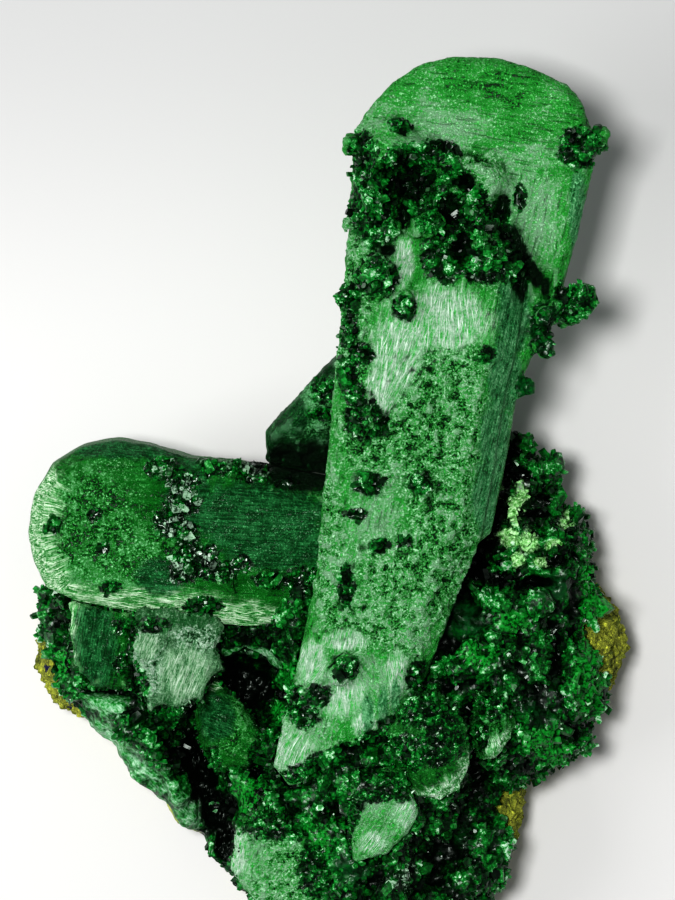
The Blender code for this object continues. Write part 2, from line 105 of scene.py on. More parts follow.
def new_material(name, roughness, **sockets):
    """A material with one Principled shader, whose plain sockets get these values."""
    made = bpy.data.materials.new(name)
    made.use_nodes = True
    shader = made.node_tree.nodes["Principled BSDF"]
    shader.inputs["Roughness"].default_value = roughness
    for socket, value in sockets.items():
        shader.inputs[socket.replace("_", " ")].default_value = value
    return made, made.node_tree, shader


def link_looks(tree, shader, **outputs):
    """Links each output to the shader's socket of that name."""
    for socket, output in outputs.items():
        tree.links.new(output, shader.inputs[socket.replace("_", " ")])


def in_scene(name, data):
    """A new object with this data, put in the scene."""
    made = bpy.data.objects.new(name, data)
    bpy.context.scene.collection.objects.link(made)
    return made


def board():
    """A wide matt board under the specimen, white below it in the picture and greyer above it, where a
    fall-off of the light is painted.
    """
    work = bmesh.new()
    bmesh.ops.create_grid(work, x_segments=1, y_segments=1, size=BOARD_SIZE / 2 * MM)
    mesh = bpy.data.meshes.new("white_board")
    work.to_mesh(mesh)
    work.free()
    made = in_scene("white_board", mesh)
    paper, tree, shader = new_material("matt white board", BOARD_ROUGHNESS)
    upward = add(tree, "ShaderNodeSeparateXYZ", {0: millimetres(tree)}).outputs["Y"]
    # A painted fall-off of the light, greyer towards the top.
    painted_falloff = spread(tree, upward, GREY_FROM, GREY_TO)
    link_looks(tree, shader, Base_Color=blended(tree, painted_falloff, BOARD_WHITE, BOARD_PAINTED_SHADE))
    mesh.materials.append(paper)


def camera():
    """A long lens that looks straight down on the specimen."""
    data = bpy.data.cameras.new("camera")
    data.lens = CAMERA_LENS
    made = in_scene("camera", data)
    made.location = CAMERA_PLACE
    bpy.context.scene.camera = made


def lamp(name, place, size, power):
    """A square soft lamp that faces the specimen."""
    data = bpy.data.lights.new(name, "AREA")
    data.size = size
    data.energy = power
    made = in_scene(name, data)
    made.location = place
    made.rotation_euler = (Vector(place) - LAMP_AIM).to_track_quat("Z", "Y").to_euler()


board()
camera()
lamp("high_left", (-0.085, 0.035, 0.62), size=0.10, power=2.8)
lamp("window", (-0.95, -0.10, 0.80), size=0.55, power=4.2)
sky = bpy.data.worlds.new("sky")
sky.use_nodes = True
sky.node_tree.nodes["Background"].inputs["Color"].default_value = SKY_COLOUR
sky.node_tree.nodes["Background"].inputs["Strength"].default_value = SKY_STRENGTH
bpy.context.scene.world = sky
bpy.context.scene.view_settings.view_transform = "Standard"
bpy.context.scene.view_settings.look = "High Contrast"

# The rock: crumbly ochre host stone, flat underneath, with a few traces of blue azurite where the photograph
# shows them at the far left. Its surface is made rough in small steps over the solid.
ROCK_FACE = 0.6
SAME_CORNER = 0.001
ROCK_YELLOW = (0.74, 0.80, 0.10)
ROCK_OLIVE = (0.14, 0.20, 0.025)
ROCK_BROWN = (0.05, 0.055, 0.010)
AZURITE_BLUE = (0.02, 0.02, 0.12)
# A patch of a mark is its middle, x and y, and its reach both ways. It may go on with a height and a reach
# for that. At its reach the mark is down to about half.
FALL_OFF = 0.7
ROCK_MARKS = {
    "azurite": [(-46.3, -23.4, 0.4, 0.8), (-42.9, -30.4, 0.5, 0.4), (-45.6, -20.4, 0.3, 0.5)],
    # The sunk places are painted dark there too, as painted shade.
    "sink": [(-14, -26, 8, 8), (-20, -40, 6, 10), (-17, -51, 5, 6)],
}
# How far down a face may turn, as the upward part of its normal, before it takes no mark and before it isn't
# sunk either. Marks fade out over a range above that.
MARKS_END = -0.15
SUNK_END = -0.6
FADE = 0.5
GROOVE_SIZE = 0.9
GROOVE_STRETCH = (1, 0.08, 1)
# The grain's depth is the share that it has anywhere, and more in moss, where clumps of it are added. The
# small blocks of druse are this part of the size and depth of the others.
ANY_GRAIN = 0.2
MOSS_GRAIN = 1.3
MOSS_CLUMPS = 0.9
CLUMP_SIZE = 2.0
SMALL_BLOCK_SIZE = 0.45
SMALL_BLOCK_DEPTH = 0.5
BARE_LESS_LUMPY = 0.9
BARE_LESS_DRUSY = 0.95
SMOOTH_LESS_MOSSY = 1.3
# Sunk places are torn to uneven depths. A place is deep against a blur of the surface, this many times over.
TORN_SIZE = 1.3
TORN = 1.6
AROUND = 24


def settle(obj):
    """The object's modifiers become its plain mesh."""
    bpy.context.view_layer.update()
    graph = bpy.context.evaluated_depsgraph_get()
    mesh = bpy.data.meshes.new_from_object(obj.evaluated_get(graph))
    mesh.name = obj.name
    obj.modifiers.clear()
    obj.data = mesh


def even_copy(node, name, face):
    """The solid's own surface, its loose triangles merged, in small even faces."""
    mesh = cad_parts[node].data.copy()
    work = bmesh.new()
    work.from_mesh(mesh)
    bmesh.ops.remove_doubles(work, verts=work.verts, dist=SAME_CORNER * MM)
    work.to_mesh(mesh)
    work.free()
    made = in_scene(name, mesh)
    remesh = made.modifiers.new("even faces", "REMESH")
    remesh.mode = "VOXEL"
    remesh.voxel_size = face * MM
    settle(made)
    return made


def rows(items, name, width=3, kind=float):
    """One property of all these items of a mesh, a row to each."""
    values = np.empty(len(items) * width, dtype=kind)
    items.foreach_get(name, values)
    return values.reshape(-1, width)


def mark(mesh, marks):
    """For each kind of mark a soft attribute: 1 in the middle of its patches, seen from above, 0 outside.

    Patches fade out on steep sides, and sunk places only on the back. A patch with a height is a ball, which
    marks all sides."""
    places = rows(mesh.vertices, "co") / MM
    upward = rows(mesh.vertex_normals, "vector")[:, 2]
    for kind, patches in marks.items():
        end = SUNK_END if kind == "sink" else MARKS_END
        facing = np.clip((upward - end) / FADE, 0, 1)
        strength = np.zeros(len(places))
        for x, y, reach_x, reach_y, *level in patches:
            away = ((places[:, 0] - x) / reach_x) ** 2 + ((places[:, 1] - y) / reach_y) ** 2
            if level:
                away += ((places[:, 2] - level[0]) / level[1]) ** 2
            strength = np.maximum(strength, np.exp(-FALL_OFF * away) * (1 if level else facing))
        mesh.attributes.new(kind, "FLOAT", "POINT").data.foreach_set("value", strength)


def maths(tree, operation, first, second=0.0, third=0.0, clamp=False):
    """The output of one arithmetic node."""
    inputs = {0: first, 1: second, 2: third}
    return add(tree, "ShaderNodeMath", inputs, operation=operation, use_clamp=clamp).outputs[0]


def times(tree, first, second):
    """The two multiplied."""
    return maths(tree, "MULTIPLY", first, second)


def vector_maths(tree, operation, *vectors, **inputs):
    """The output of one vector arithmetic node."""
    inputs = {**dict(enumerate(vectors)), **inputs}
    return add(tree, "ShaderNodeVectorMath", inputs, operation=operation).outputs[0]


def parts_of(tree, vector):
    """The vector's X, Y and Z."""
    return add(tree, "ShaderNodeSeparateXYZ", {0: vector}).outputs


def weighted(tree, *terms):
    """The sum of these outputs, each with its weight."""
    total = 0.0
    for output, weight in terms:
        total = maths(tree, "MULTIPLY_ADD", output, weight, total)
    return total


def outer_socket(tree, name, kind, way="INPUT"):
    """A new socket on the outside of the tree."""
    return tree.interface.new_socket(name, in_out=way, socket_type=f"NodeSocket{kind}")


def with_inputs(name, inputs):
    """An empty geometry tree with a geometry input, these named number inputs and a material input."""
    tree = bpy.data.node_groups.new(name, "GeometryNodeTree")
    tree.is_modifier = True
    outer_socket(tree, "Geometry", "Geometry")
    for label, value in inputs.items():
        outer_socket(tree, label, "Int" if isinstance(value, int) else "Float").default_value = value
    outer_socket(tree, "Material", "Material")
    outer_socket(tree, "Geometry", "Geometry", "OUTPUT")
    return tree, add(tree, "NodeGroupInput").outputs


def finish_tree(tree, geometry, material):
    """Ends the tree with its instances made real and its material set."""
    real = add(tree, "GeometryNodeRealizeInstances", {"Geometry": geometry}).outputs[0]
    dressed = add(tree, "GeometryNodeSetMaterial", {"Geometry": real, "Material": material}).outputs[0]
    add(tree, "NodeGroupOutput", {"Geometry": dressed})


def attribute(tree, name, kind="FLOAT"):
    """A named attribute's output, in a geometry tree."""
    return add(tree, "GeometryNodeInputNamedAttribute", {"Name": name}, data_type=kind).outputs["Attribute"]


def run_tree(obj, tree, material, **values):
    """Runs the tree over the object with these inputs, and keeps the result as its plain mesh."""
    modifier = obj.modifiers.new(tree.name, "NODES")
    modifier.node_group = tree
    sockets = {item.name: item.identifier for item in tree.interface.items_tree if item.in_out == "INPUT"}
    for name, value in values.items():
        modifier[sockets[name.replace("_", " ")]] = value
    modifier[sockets["Material"]] = material
    settle(obj)


def bumps(tree, places, size, name):
    """Noise of this size in millimetres, from -0.5 to 0.5."""
    scale = maths(tree, "DIVIDE", 1.0, size)
    noise = add(tree, "ShaderNodeTexNoise", {"Vector": places, "Scale": scale, "Detail": 2.0}, label=name)
    return maths(tree, "SUBTRACT", noise.outputs["Fac"], 0.5)


def lumps(tree, places, size, metric="EUCLIDEAN"):
    """Lumps of this size in millimetres with sharp creases between them, from about 0.5 down to -0.5."""
    scale = maths(tree, "DIVIDE", 1.0, size)
    cells = add(tree, "ShaderNodeTexVoronoi", {"Vector": places, "Scale": scale}, distance=metric)
    return maths(tree, "SUBTRACT", 0.45, cells.outputs["Distance"])


def blurred(tree, vector, steps):
    """The vector averaged with its neighbours' on the surface, this many times."""
    inputs = {"Value": vector, "Iterations": steps}
    return add(tree, "GeometryNodeBlurAttribute", inputs, data_type="FLOAT_VECTOR").outputs[0]


def surface_height(tree, there, given):
    """How far the surface stands out: swells, lumps, grains, grooves along the fibres where it is silky, and
    blocks where it is drusy."""
    along = vector_maths(tree, "MULTIPLY", attribute(tree, "lie", "FLOAT_VECTOR"), GROOVE_STRETCH)
    blocks = lumps(tree, there, given["Druse Size"], "CHEBYCHEV")
    small_blocks = lumps(tree, there, times(tree, given["Druse Size"], SMALL_BLOCK_SIZE))
    blocks = maths(tree, "MULTIPLY_ADD", small_blocks, SMALL_BLOCK_DEPTH, blocks)
    bare = attribute(tree, "bare")
    lumpy = maths(tree, "MULTIPLY_ADD", bare, -BARE_LESS_LUMPY, 1.0)
    drusy = maths(tree, "MULTIPLY_ADD", bare, -BARE_LESS_DRUSY, attribute(tree, "druse"), clamp=True)
    smooth = attribute(tree, "smooth")
    moss = maths(tree, "MULTIPLY_ADD", smooth, -SMOOTH_LESS_MOSSY, attribute(tree, "moss"), clamp=True)
    grains = bumps(tree, there, given["Grain Size"], "grains")
    clumps = bumps(tree, there, times(tree, given["Grain Size"], CLUMP_SIZE), "clumps")
    total = 0.0
    for height, depth, where in (
        (bumps(tree, there, given["Swell Size"], "swells"), "Swell Depth", 1.0),
        (lumps(tree, there, given["Lump Size"]), "Lump Depth", lumpy),
        (grains, "Grain Depth", maths(tree, "MULTIPLY_ADD", moss, MOSS_GRAIN, ANY_GRAIN)),
        (clumps, "Grain Depth", times(tree, moss, MOSS_CLUMPS)),
        (bumps(tree, along, GROOVE_SIZE, "grooves"), "Groove Depth", attribute(tree, "silk")),
        (blocks, "Druse Depth", drusy),
    ):
        strength = times(tree, given[depth], where)
        total = maths(tree, "MULTIPLY_ADD", height, strength, total)
    return total


def weathering():
    """Softens the solid's edges, gives it its rough surface, and sinks what is marked, by torn depths.

    Nothing reaches below the flat underside. The deep attribute says how far a place ends up below what is
    round it, in millimetres."""
    tree, given = with_inputs(
        "weathered surface",
        {
            "Soften": 3, "Swell Size": 4.0, "Swell Depth": 0.5, "Lump Size": 5.0, "Lump Depth": 0.0,
            "Grain Size": 0.8, "Grain Depth": 0.2, "Groove Depth": 0.15, "Druse Size": 1.4,
            "Druse Depth": 0.8, "Sink Depth": 4.0,
        },
    )
    place = add(tree, "GeometryNodeInputPosition").outputs[0]
    upright = add(tree, "GeometryNodeInputNormal").outputs[0]
    there = vector_maths(tree, "SCALE", place, Scale=1 / MM)
    soft = blurred(tree, place, given["Soften"])
    eased = add(tree, "GeometryNodeSetPosition", {"Geometry": given["Geometry"], "Position": soft}).outputs[0]
    height = times(tree, surface_height(tree, there, given), 2 * MM)
    push = vector_maths(tree, "SCALE", upright, Scale=height)
    moved = add(tree, "GeometryNodeSetPosition", {"Geometry": eased, "Offset": push}).outputs[0]
    torn = maths(tree, "MULTIPLY_ADD", bumps(tree, there, TORN_SIZE, "torn"), TORN, 1.0)
    depth = times(tree, given["Sink Depth"], torn)
    sink = times(tree, attribute(tree, "sink"), depth)
    parts = parts_of(tree, place)
    lowered = maths(tree, "MAXIMUM", maths(tree, "MULTIPLY_ADD", sink, -MM, parts["Z"]), 0.0)
    lower = add(tree, "ShaderNodeCombineXYZ", {"X": parts["X"], "Y": parts["Y"], "Z": lowered}).outputs[0]
    sunk = add(tree, "GeometryNodeSetPosition", {"Geometry": moved, "Position": lower}).outputs[0]
    above = vector_maths(tree, "SUBTRACT", blurred(tree, place, AROUND), place)
    facing = blurred(tree, upright, AROUND)
    below = add(tree, "ShaderNodeVectorMath", {0: above, 1: facing}, operation="DOT_PRODUCT").outputs["Value"]
    deep = {"Geometry": sunk, "Name": "deep", "Value": maths(tree, "DIVIDE", below, MM)}
    kept = add(tree, "GeometryNodeStoreNamedAttribute", deep, data_type="FLOAT", domain="POINT").outputs[0]
    smooth = add(tree, "GeometryNodeSetShadeSmooth", {"Geometry": kept}).outputs[0]
    finish_tree(tree, smooth, given["Material"])
    return tree


def marked(tree, name):
    """A mark's attribute, in a material."""
    return add(tree, "ShaderNodeAttribute", attribute_name=name).outputs["Fac"]


def ragged(tree, name, places, size, raggedness=0.9, middle=0.5, width=0.16):
    """A mark's attribute in a material, with its soft edge made ragged and finely broken."""
    settings = {"Vector": places, "Scale": 1 / size, "Detail": 5.0, "Roughness": 0.68}
    noise = add(tree, "ShaderNodeTexNoise", settings).outputs["Fac"]
    stirred = maths(tree, "MULTIPLY_ADD", noise, raggedness, marked(tree, name))
    start = middle + raggedness / 2 - width
    return spread(tree, stirred, start, start + 2 * width)


def speckle(tree, places, size, low, high, detail=3.0, stretch=(1, 1, 1), sharp=0.5, turn=0):
    """Noise of this size in millimetres, its middle range between low and high spread from 0 to 1. It may be
    drawn out one way by scaling its places, after they are turned."""
    if turn:
        places = mapped(tree, places, Rotation=(0, 0, math.radians(turn)))
    laid = mapped(tree, places, Scale=stretch)
    settings = {"Vector": laid, "Scale": 1 / size, "Detail": detail, "Roughness": sharp}
    noise = add(tree, "ShaderNodeTexNoise", settings).outputs["Fac"]
    return spread(tree, noise, low, high, "LINEAR")


def depth_range(tree, start, end):
    """0 where the surface lies the start's depth below what is round it, up to 1 at the end's. A place with
    a depth under 0 stands out."""
    return spread(tree, marked(tree, "deep"), start, end)


def shaded_in_hollows(tree, colour, dark, places, start=0.05, end=0.55):
    """Painted shade: the colour, going to the dark one in sunk places and where the surface is below what is
    round it.
    """
    hollow = ragged(tree, "sink", places, 1.0, 0.7, 0.47, 0.14)
    return blended(tree, maths(tree, "MAXIMUM", depth_range(tree, start, end), hollow), colour, dark)


def relief(tree, height, depth, strength=1.0):
    """The normal of a bump of this depth in millimetres."""
    inputs = {"Height": height, "Distance": depth * MM, "Strength": strength}
    return add(tree, "ShaderNodeBump", inputs).outputs["Normal"]


def ochre_stone():
    """Crumbly yellow to olive stone with brown pits and traces of azurite."""
    made, tree, shader = new_material("ochre host rock", 0.9)
    places = millimetres(tree)
    patches = speckle(tree, places, 3.5, 0.38, 0.62, detail=4.0)
    fine = speckle(tree, places, 0.6, 0.4, 0.6, detail=4.0, sharp=0.7)
    pits = speckle(tree, places, 0.9, 0.56, 0.63, detail=5.0, stretch=(1, 0.35, 1), sharp=0.65)
    colour = blended(tree, weighted(tree, (patches, 0.6), (fine, 0.7)), ROCK_OLIVE, ROCK_YELLOW)
    colour = blended(tree, times(tree, pits, 0.7), colour, ROCK_BROWN)
    # Painted shade: dark brown in hollows and sunk places.
    colour = shaded_in_hollows(tree, colour, ROCK_BROWN, places, 0.2, 0.8)
    colour = blended(tree, ragged(tree, "azurite", places, 0.5), colour, AZURITE_BLUE)
    link_looks(tree, shader, Base_Color=colour, Normal=relief(tree, maths(tree, "SUBTRACT", fine, pits), 0.5))
    return made


weathered = weathering()
rock = even_copy("rock_base", "rock_base_stone", ROCK_FACE)
mark(rock.data, ROCK_MARKS)
run_tree(
    rock, weathered, ochre_stone(),
    Soften=2, Swell_Size=3.0, Swell_Depth=0.8, Lump_Size=1.8, Lump_Depth=0.8, Grain_Size=0.8, Grain_Depth=4.0,
)
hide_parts("rock_base")
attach(rock, "root")

# The crust: a mass of malachite druse that coats the rock, nearly black where it is deep, which is painted
# shade. Its lumps are in the solid, and small glossy crystals grow over most of it. Its lower left edge is a
# pale fibrous rim.
CRUST_FACE = 0.5
DRUSE_BLACK = (0.0003, 0.003, 0.0009)
DRUSE_DARK = (0.0008, 0.024, 0.004)
DRUSE_MID = (0.003, 0.12, 0.014)
DRUSE_BRIGHT = (0.016, 0.30, 0.045)
DRUSE_PALE = (0.44, 0.64, 0.47)
# The druse's tones. They follow how far the ground stands out, so the black is partly painted shade and the
# pale partly painted glints.
DRUSE_TONES = [
    (0.34, DRUSE_BLACK), (0.55, DRUSE_DARK), (0.74, DRUSE_MID), (0.88, DRUSE_BRIGHT), (0.98, DRUSE_PALE),
]
GLASS_GREEN = (0.004, 0.07, 0.016)
LIME = (0.28, 0.62, 0.22)
LIME_PALE = (0.56, 0.82, 0.48)
LIME_DARK = (0.04, 0.22, 0.02)
CLEAR_GREEN = (0.006, 0.22, 0.02)
RIM_PALE = (0.16, 0.40, 0.20)
# Pale frosted crystals, partly painted glints.
FROST_AND_GLINT = (0.42, 0.60, 0.45)
GREEN_GLINT = (0.9, 1.0, 0.92, 1)
# A finish's gloss is its roughness: the lower, the glossier.
CRUST_GLOSS = 0.34
DRUSE_GLOSS = 0.3
LIME_MATTER = 0.5
# The druse is darkest at this depth below what is round it, and palest where it stands out this far: a
# painted shade in its hollows and a painted highlight on its lumps.
DRUSE_DEEPEST = 0.7
DRUSE_HIGHEST = -0.9
# Each crystal has its number of sides, its taper, the slope of its end and its width for a length of 1.
CRYSTALS = [(6, 0.75, 0.4, 0.85), (4, 0.9, 0.35, 0.85), (5, 0.7, -0.3, 1.0)]
CRYSTAL_FOOT = 0.35
LEAST_UNEVEN = (0.7, 0.7, 0.7)
MOST_UNEVEN = (1.1, 1.1, 1.2)
MOSTLY_SMALL = 2.2
PATCHINESS = 1.2
THINNING = 0.25
LEVEL_FACES = 0.85
LOWEST_DRUSE = 2.5
RIM_TURN = 42
RIM_LINE = [
    (-36.5, -32), (-34.8, -34), (-33, -36), (-31.2, -37.6), (-29.4, -39.2), (-27.6, -40.8), (-25.8, -42.4),
    (-24.2, -44), (-22.6, -45.8), (-21, -47.8),
]
HOLLOW_LIP = [
    (-19, -21.8, 1.6, 0.9), (-16.6, -20.9, 1.8, 0.8), (-13.8, -20.5, 1.8, 0.8), (-11, -20.9, 1.8, 0.8),
    (-8.8, -22, 1.4, 1),
]
EVERYWHERE = (0, 0, math.inf, math.inf, 0, math.inf)
CRUST_MARKS = {
    "druse": [EVERYWHERE],
    "lime": [
        (30.2, 2.6, 1.6, 2.2), (31.6, 5.2, 1.0, 1.6), (29.2, -1.6, 1.4, 1.5), (32.4, -2.4, 1.7, 1.6),
        (36.5, -2.9, 1.3, 1.0), (27.6, 6, 0.9, 1.4), (34.5, -5.6, 1.2, 0.9), (30.6, -5.2, 1.2, 1.0),
        (38.6, 1.0, 0.9, 0.8),
    ],
    "glass": [
        (20.5, -14.5, 4.5, 3.5), (36.4, -9.6, 3, 2.2), (-17, -58, 2, 2), (33, -30, 3, 2), (20, -50, 3, 3),
        (4, -54, 3, 2.4), (-24, -30, 2, 2.4),
    ],
    # Where a clear green is painted, as painted light that comes through the crystals.
    "glow": [
        (-12.5, -44.9, 3, 5), (43, -12, 2.2, 12), (41.6, -26, 2.4, 6), (34.3, -34.4, 3, 3), (24, -20, 3, 2),
        (30, -15, 3, 2), (-43.3, -22, 1.4, 2), (37, -36, 3, 2), (-2.5, -50, 3, 3), (3, -46, 3, 2),
        (-21, -27.5, 2, 1.6), (-6, -24, 2, 3), (-6.5, -30, 3, 2),
    ],
    "pale": [*[(x, y, 3, 2.2, 10, 12) for x, y in RIM_LINE], *HOLLOW_LIP, (-36, -28.6, 3.4, 2.2)],
    "frost_and_glint": [(27, -27, 2, 1.4), (-9, -48, 1.4, 1.4), (12, -56, 2, 2)],
    "bare": [
        *[(x - 1.2, y - 1.4, 3.8, 3.2, 8, 12) for x, y in RIM_LINE], *HOLLOW_LIP, (-36, -28.6, 2.6, 1.8),
        (20.5, -14.5, 4, 3), (36.4, -9.6, 2.6, 2), (-19, -55, 2.6, 5), (-20, -40, 2.5, 7), (-13.6, -26, 4, 4),
        (-15, -52, 1.6, 6),
    ],
    "edge": [(x - 2.6, y - 3, 2.3, 2.3, 8, 4.4) for x, y in RIM_LINE],
    # Sunk hollows and channels, also painted black there as painted shade.
    "sink": [
        (-14.3, -27.2, 5, 4, 14, 14), (-22.5, -37, 2.4, 3.6), (-20.6, -42, 2.4, 3.8), (-18.6, -47, 2.4, 3.8),
        (-16.8, -52, 2, 3.8), (26, 0, 2.4, 5.4), (27.8, 8.4, 2.2, 5), (24.4, -6, 1.8, 3), (23.4, -1, 2, 7),
        (33.4, -8.8, 2.2, 0.9), (30.4, 14.4, 1.2, 2.6), (-36, -26, 3, 1.2), (24, -38, 1.4, 3),
        (-6.5, -34, 1.6, 3), (34, 3.4, 1.6, 2), (37, -5, 1.8, 1.6), (28, -8.6, 2.4, 1.4),
        (33.4, -0.6, 1.2, 0.8), (36.6, -20, 1.2, 3.4), (22.8, -30, 1.0, 2.2), (31.5, 7.6, 1.4, 1.6),
        (-7, -27, 1.2, 2), (2, -45, 1.6, 1.2), (-12, -39, 1.4, 2), (14.6, -30, 1.2, 1.6),
    ],
}


def malachite(name, gloss, ior, shine):
    """A malachite material, whose gloss is faintly green."""
    return new_material(name, gloss, IOR=ior, Specular_IOR_Level=shine, Specular_Tint=GREEN_GLINT)


def facet_group():
    """A shader group: small flat facets, each tilted its own way, and a random shade for each."""
    tree = bpy.data.node_groups.new("sparkling facets", "ShaderNodeTree")
    outer_socket(tree, "Vector", "Vector")
    outer_socket(tree, "Size", "Float")
    outer_socket(tree, "Tilt", "Float")
    outer_socket(tree, "Normal", "Vector", "OUTPUT")
    outer_socket(tree, "Shade", "Float", "OUTPUT")
    given = add(tree, "NodeGroupInput").outputs
    scale = maths(tree, "DIVIDE", 1.0, given["Size"])
    cell = add(tree, "ShaderNodeTexVoronoi", {"Vector": given["Vector"], "Scale": scale}).outputs["Color"]
    lean = vector_maths(tree, "SCALE", vector_maths(tree, "SUBTRACT", cell, (0.5,) * 3), Scale=given["Tilt"])
    upright = add(tree, "ShaderNodeNewGeometry").outputs["Normal"]
    normal = vector_maths(tree, "NORMALIZE", vector_maths(tree, "ADD", upright, lean))
    shade = add(tree, "ShaderNodeSeparateColor", {"Color": cell}).outputs[2]
    add(tree, "NodeGroupOutput", {"Normal": normal, "Shade": shade})
    return tree


def facets(tree, places, size, tilt):
    """The normal and the shade of facets of this size in millimetres."""
    inputs = {"Vector": places, "Size": size, "Tilt": tilt}
    made = add(tree, "ShaderNodeGroup", inputs, node_tree=sparkling).outputs
    return made["Normal"], made["Shade"]


def ramp(tree, factor, stops):
    """A colour for each factor, from these places and colours."""
    made = add(tree, "ShaderNodeValToRGB", {"Fac": factor})
    band = made.color_ramp
    while len(band.elements) < len(stops):
        band.elements.new(1)
    for element, (place, colour) in zip(band.elements, stops):
        element.position = place
        element.color = (*colour, 1)
    return made.outputs["Color"]


def glassy(tree, tone):
    """The colour of a smooth, dark, glassy crystal face, with a pale line along its edges."""
    face = ramp(tree, tone, [(0, DRUSE_BLACK), (0.35, DRUSE_DARK), (0.75, GLASS_GREEN), (1, DRUSE_MID)])
    return blended(tree, times(tree, depth_range(tree, -0.5, -1.1), 0.5), face, DRUSE_BRIGHT)


def drusy_patterns(tree, places):
    """The druse's noise in clusters and in crumbs, and how far its ground stands out."""
    clusters = speckle(tree, places, 3.0, 0.36, 0.64)
    crumbs = speckle(tree, places, 0.6, 0.38, 0.62, detail=4.0, sharp=0.65)
    return clusters, crumbs, depth_range(tree, DRUSE_DEEPEST, DRUSE_HIGHEST)


def painted_glow(tree, colour, crumbs, places):
    """Painted light: the colour goes to a clear green where marked, for light coming through the crystals."""
    bright = ramp(tree, crumbs, [(0.1, DRUSE_DARK), (0.5, CLEAR_GREEN), (1, DRUSE_BRIGHT)])
    return blended(tree, ragged(tree, "glow", places, 1.2), colour, bright)


def limed(tree, colour, crumbs, places):
    """The colour, going to a powdery lime green where it is marked, and how far it does."""
    share = ragged(tree, "lime", places, 0.7, 1.1)
    lime = ramp(tree, crumbs, [(0, LIME_DARK), (0.45, LIME), (1, LIME_PALE)])
    return blended(tree, share, colour, lime), share


def crust_stone():
    """The surface between the crystals: green on its lumps and black between them, a painted highlight and
    painted shade, glassy where marked, with its pale rim and, below that, a ragged edge of the ochre rock."""
    made, tree, shader = malachite("malachite crust", CRUST_GLOSS, ior=1.55, shine=0.3)
    places = millimetres(tree)
    normal, shade = facets(tree, places, 0.6, 0.45)
    clusters, crumbs, height = drusy_patterns(tree, places)
    tone = weighted(tree, (height, 0.5), (clusters, 0.25), (crumbs, 0.3), (shade, 0.12))
    # Painted light: clear green where marked.
    colour = painted_glow(tree, ramp(tree, tone, DRUSE_TONES), crumbs, places)
    along = mapped(tree, places, Rotation=(0, 0, math.radians(RIM_TURN)))
    streaks = speckle(tree, along, 0.4, 0.36, 0.64, detail=4.0, stretch=(0.22, 1, 1), sharp=0.65)
    rim_tone = weighted(tree, (streaks, 0.5), (crumbs, 0.35), (clusters, 0.3))
    rim = ramp(tree, rim_tone, [(0.1, DRUSE_DARK), (0.35, CLEAR_GREEN), (0.62, RIM_PALE), (1, DRUSE_PALE)])
    colour = blended(tree, ragged(tree, "pale", places, 1.0), colour, rim)
    ochre = blended(tree, weighted(tree, (clusters, 0.3), (crumbs, 0.45)), ROCK_OLIVE, ROCK_YELLOW)
    colour = blended(tree, ragged(tree, "edge", places, 1.2, 1.1), colour, ochre)
    face = glassy(tree, weighted(tree, (clusters, 0.65), (crumbs, 0.35)))
    colour = blended(tree, ragged(tree, "glass", places, 1.2), colour, face)
    # Painted shade: black in hollows and sunk places.
    colour = shaded_in_hollows(tree, colour, DRUSE_BLACK, places)
    colour, _ = limed(tree, colour, crumbs, places)
    link_looks(tree, shader, Base_Color=colour, Normal=normal)
    return made


def druse_stone():
    """The small crystals: green where their ground stands out and black in its hollows, as painted highlight
    and painted shade, each in its own tint, lime where marked, and pale where marked as frosted, partly as
    painted glints."""
    made, tree, shader = malachite("malachite druse", DRUSE_GLOSS, ior=1.6, shine=0.35)
    places = millimetres(tree)
    tint = marked(tree, "tint")
    normal, shade = facets(tree, places, 0.7, 0.25)
    clusters, crumbs, height = drusy_patterns(tree, places)
    tone = weighted(tree, (height, 0.5), (clusters, 0.22), (crumbs, 0.2), (tint, 0.2), (shade, 0.08))
    # Painted light: clear green where marked.
    colour = painted_glow(tree, ramp(tree, tone, DRUSE_TONES), crumbs, places)
    # Pale crystals where marked as frosted, picked at random: partly painted glints.
    pale_share = spread(tree, weighted(tree, (tint, 0.45), (crumbs, 0.5), (shade, 0.25)), 0.5, 0.8, "LINEAR")
    frost_and_glint = times(tree, ragged(tree, "frost_and_glint", places, 1.2), pale_share)
    colour = blended(tree, times(tree, frost_and_glint, 0.8), colour, FROST_AND_GLINT)
    # Painted shade: black in hollows and sunk places.
    colour = shaded_in_hollows(tree, colour, DRUSE_BLACK, places, 0.15, 0.8)
    colour, lime = limed(tree, colour, crumbs, places)
    matt = maths(tree, "MULTIPLY_ADD", lime, LIME_MATTER, DRUSE_GLOSS)
    link_looks(tree, shader, Base_Color=colour, Normal=normal, Roughness=matt)
    return made


def crystal_shape(tree, sides, taper, slope, width):
    """One short crystal for the tree: a prism with a slanted end, about a third of it below its foot."""
    size = {"Vertices": sides, "Radius Top": 0.5 * taper, "Radius Bottom": 0.5, "Depth": 1.0}
    prism = add(tree, "GeometryNodeMeshCone", size).outputs["Mesh"]
    place = add(tree, "GeometryNodeInputPosition").outputs[0]
    parts = parts_of(tree, place)
    high = maths(tree, "GREATER_THAN", parts["Z"], 0.5)
    lift = times(tree, times(tree, parts["X"], slope), high)
    offset = add(tree, "ShaderNodeCombineXYZ", {"Z": lift}).outputs[0]
    cut = add(tree, "GeometryNodeSetPosition", {"Geometry": prism, "Offset": offset}).outputs[0]
    flat = add(tree, "GeometryNodeSetShadeSmooth", {"Geometry": cut, "Shade Smooth": False}).outputs[0]
    lowered = {"Geometry": flat, "Translation": (0, 0, -CRYSTAL_FOOT), "Scale": (1, width, 1)}
    sunk = add(tree, "GeometryNodeTransform", lowered).outputs[0]
    return add(tree, "GeometryNodeGeometryToInstance", {"Geometry": sunk}).outputs[0]


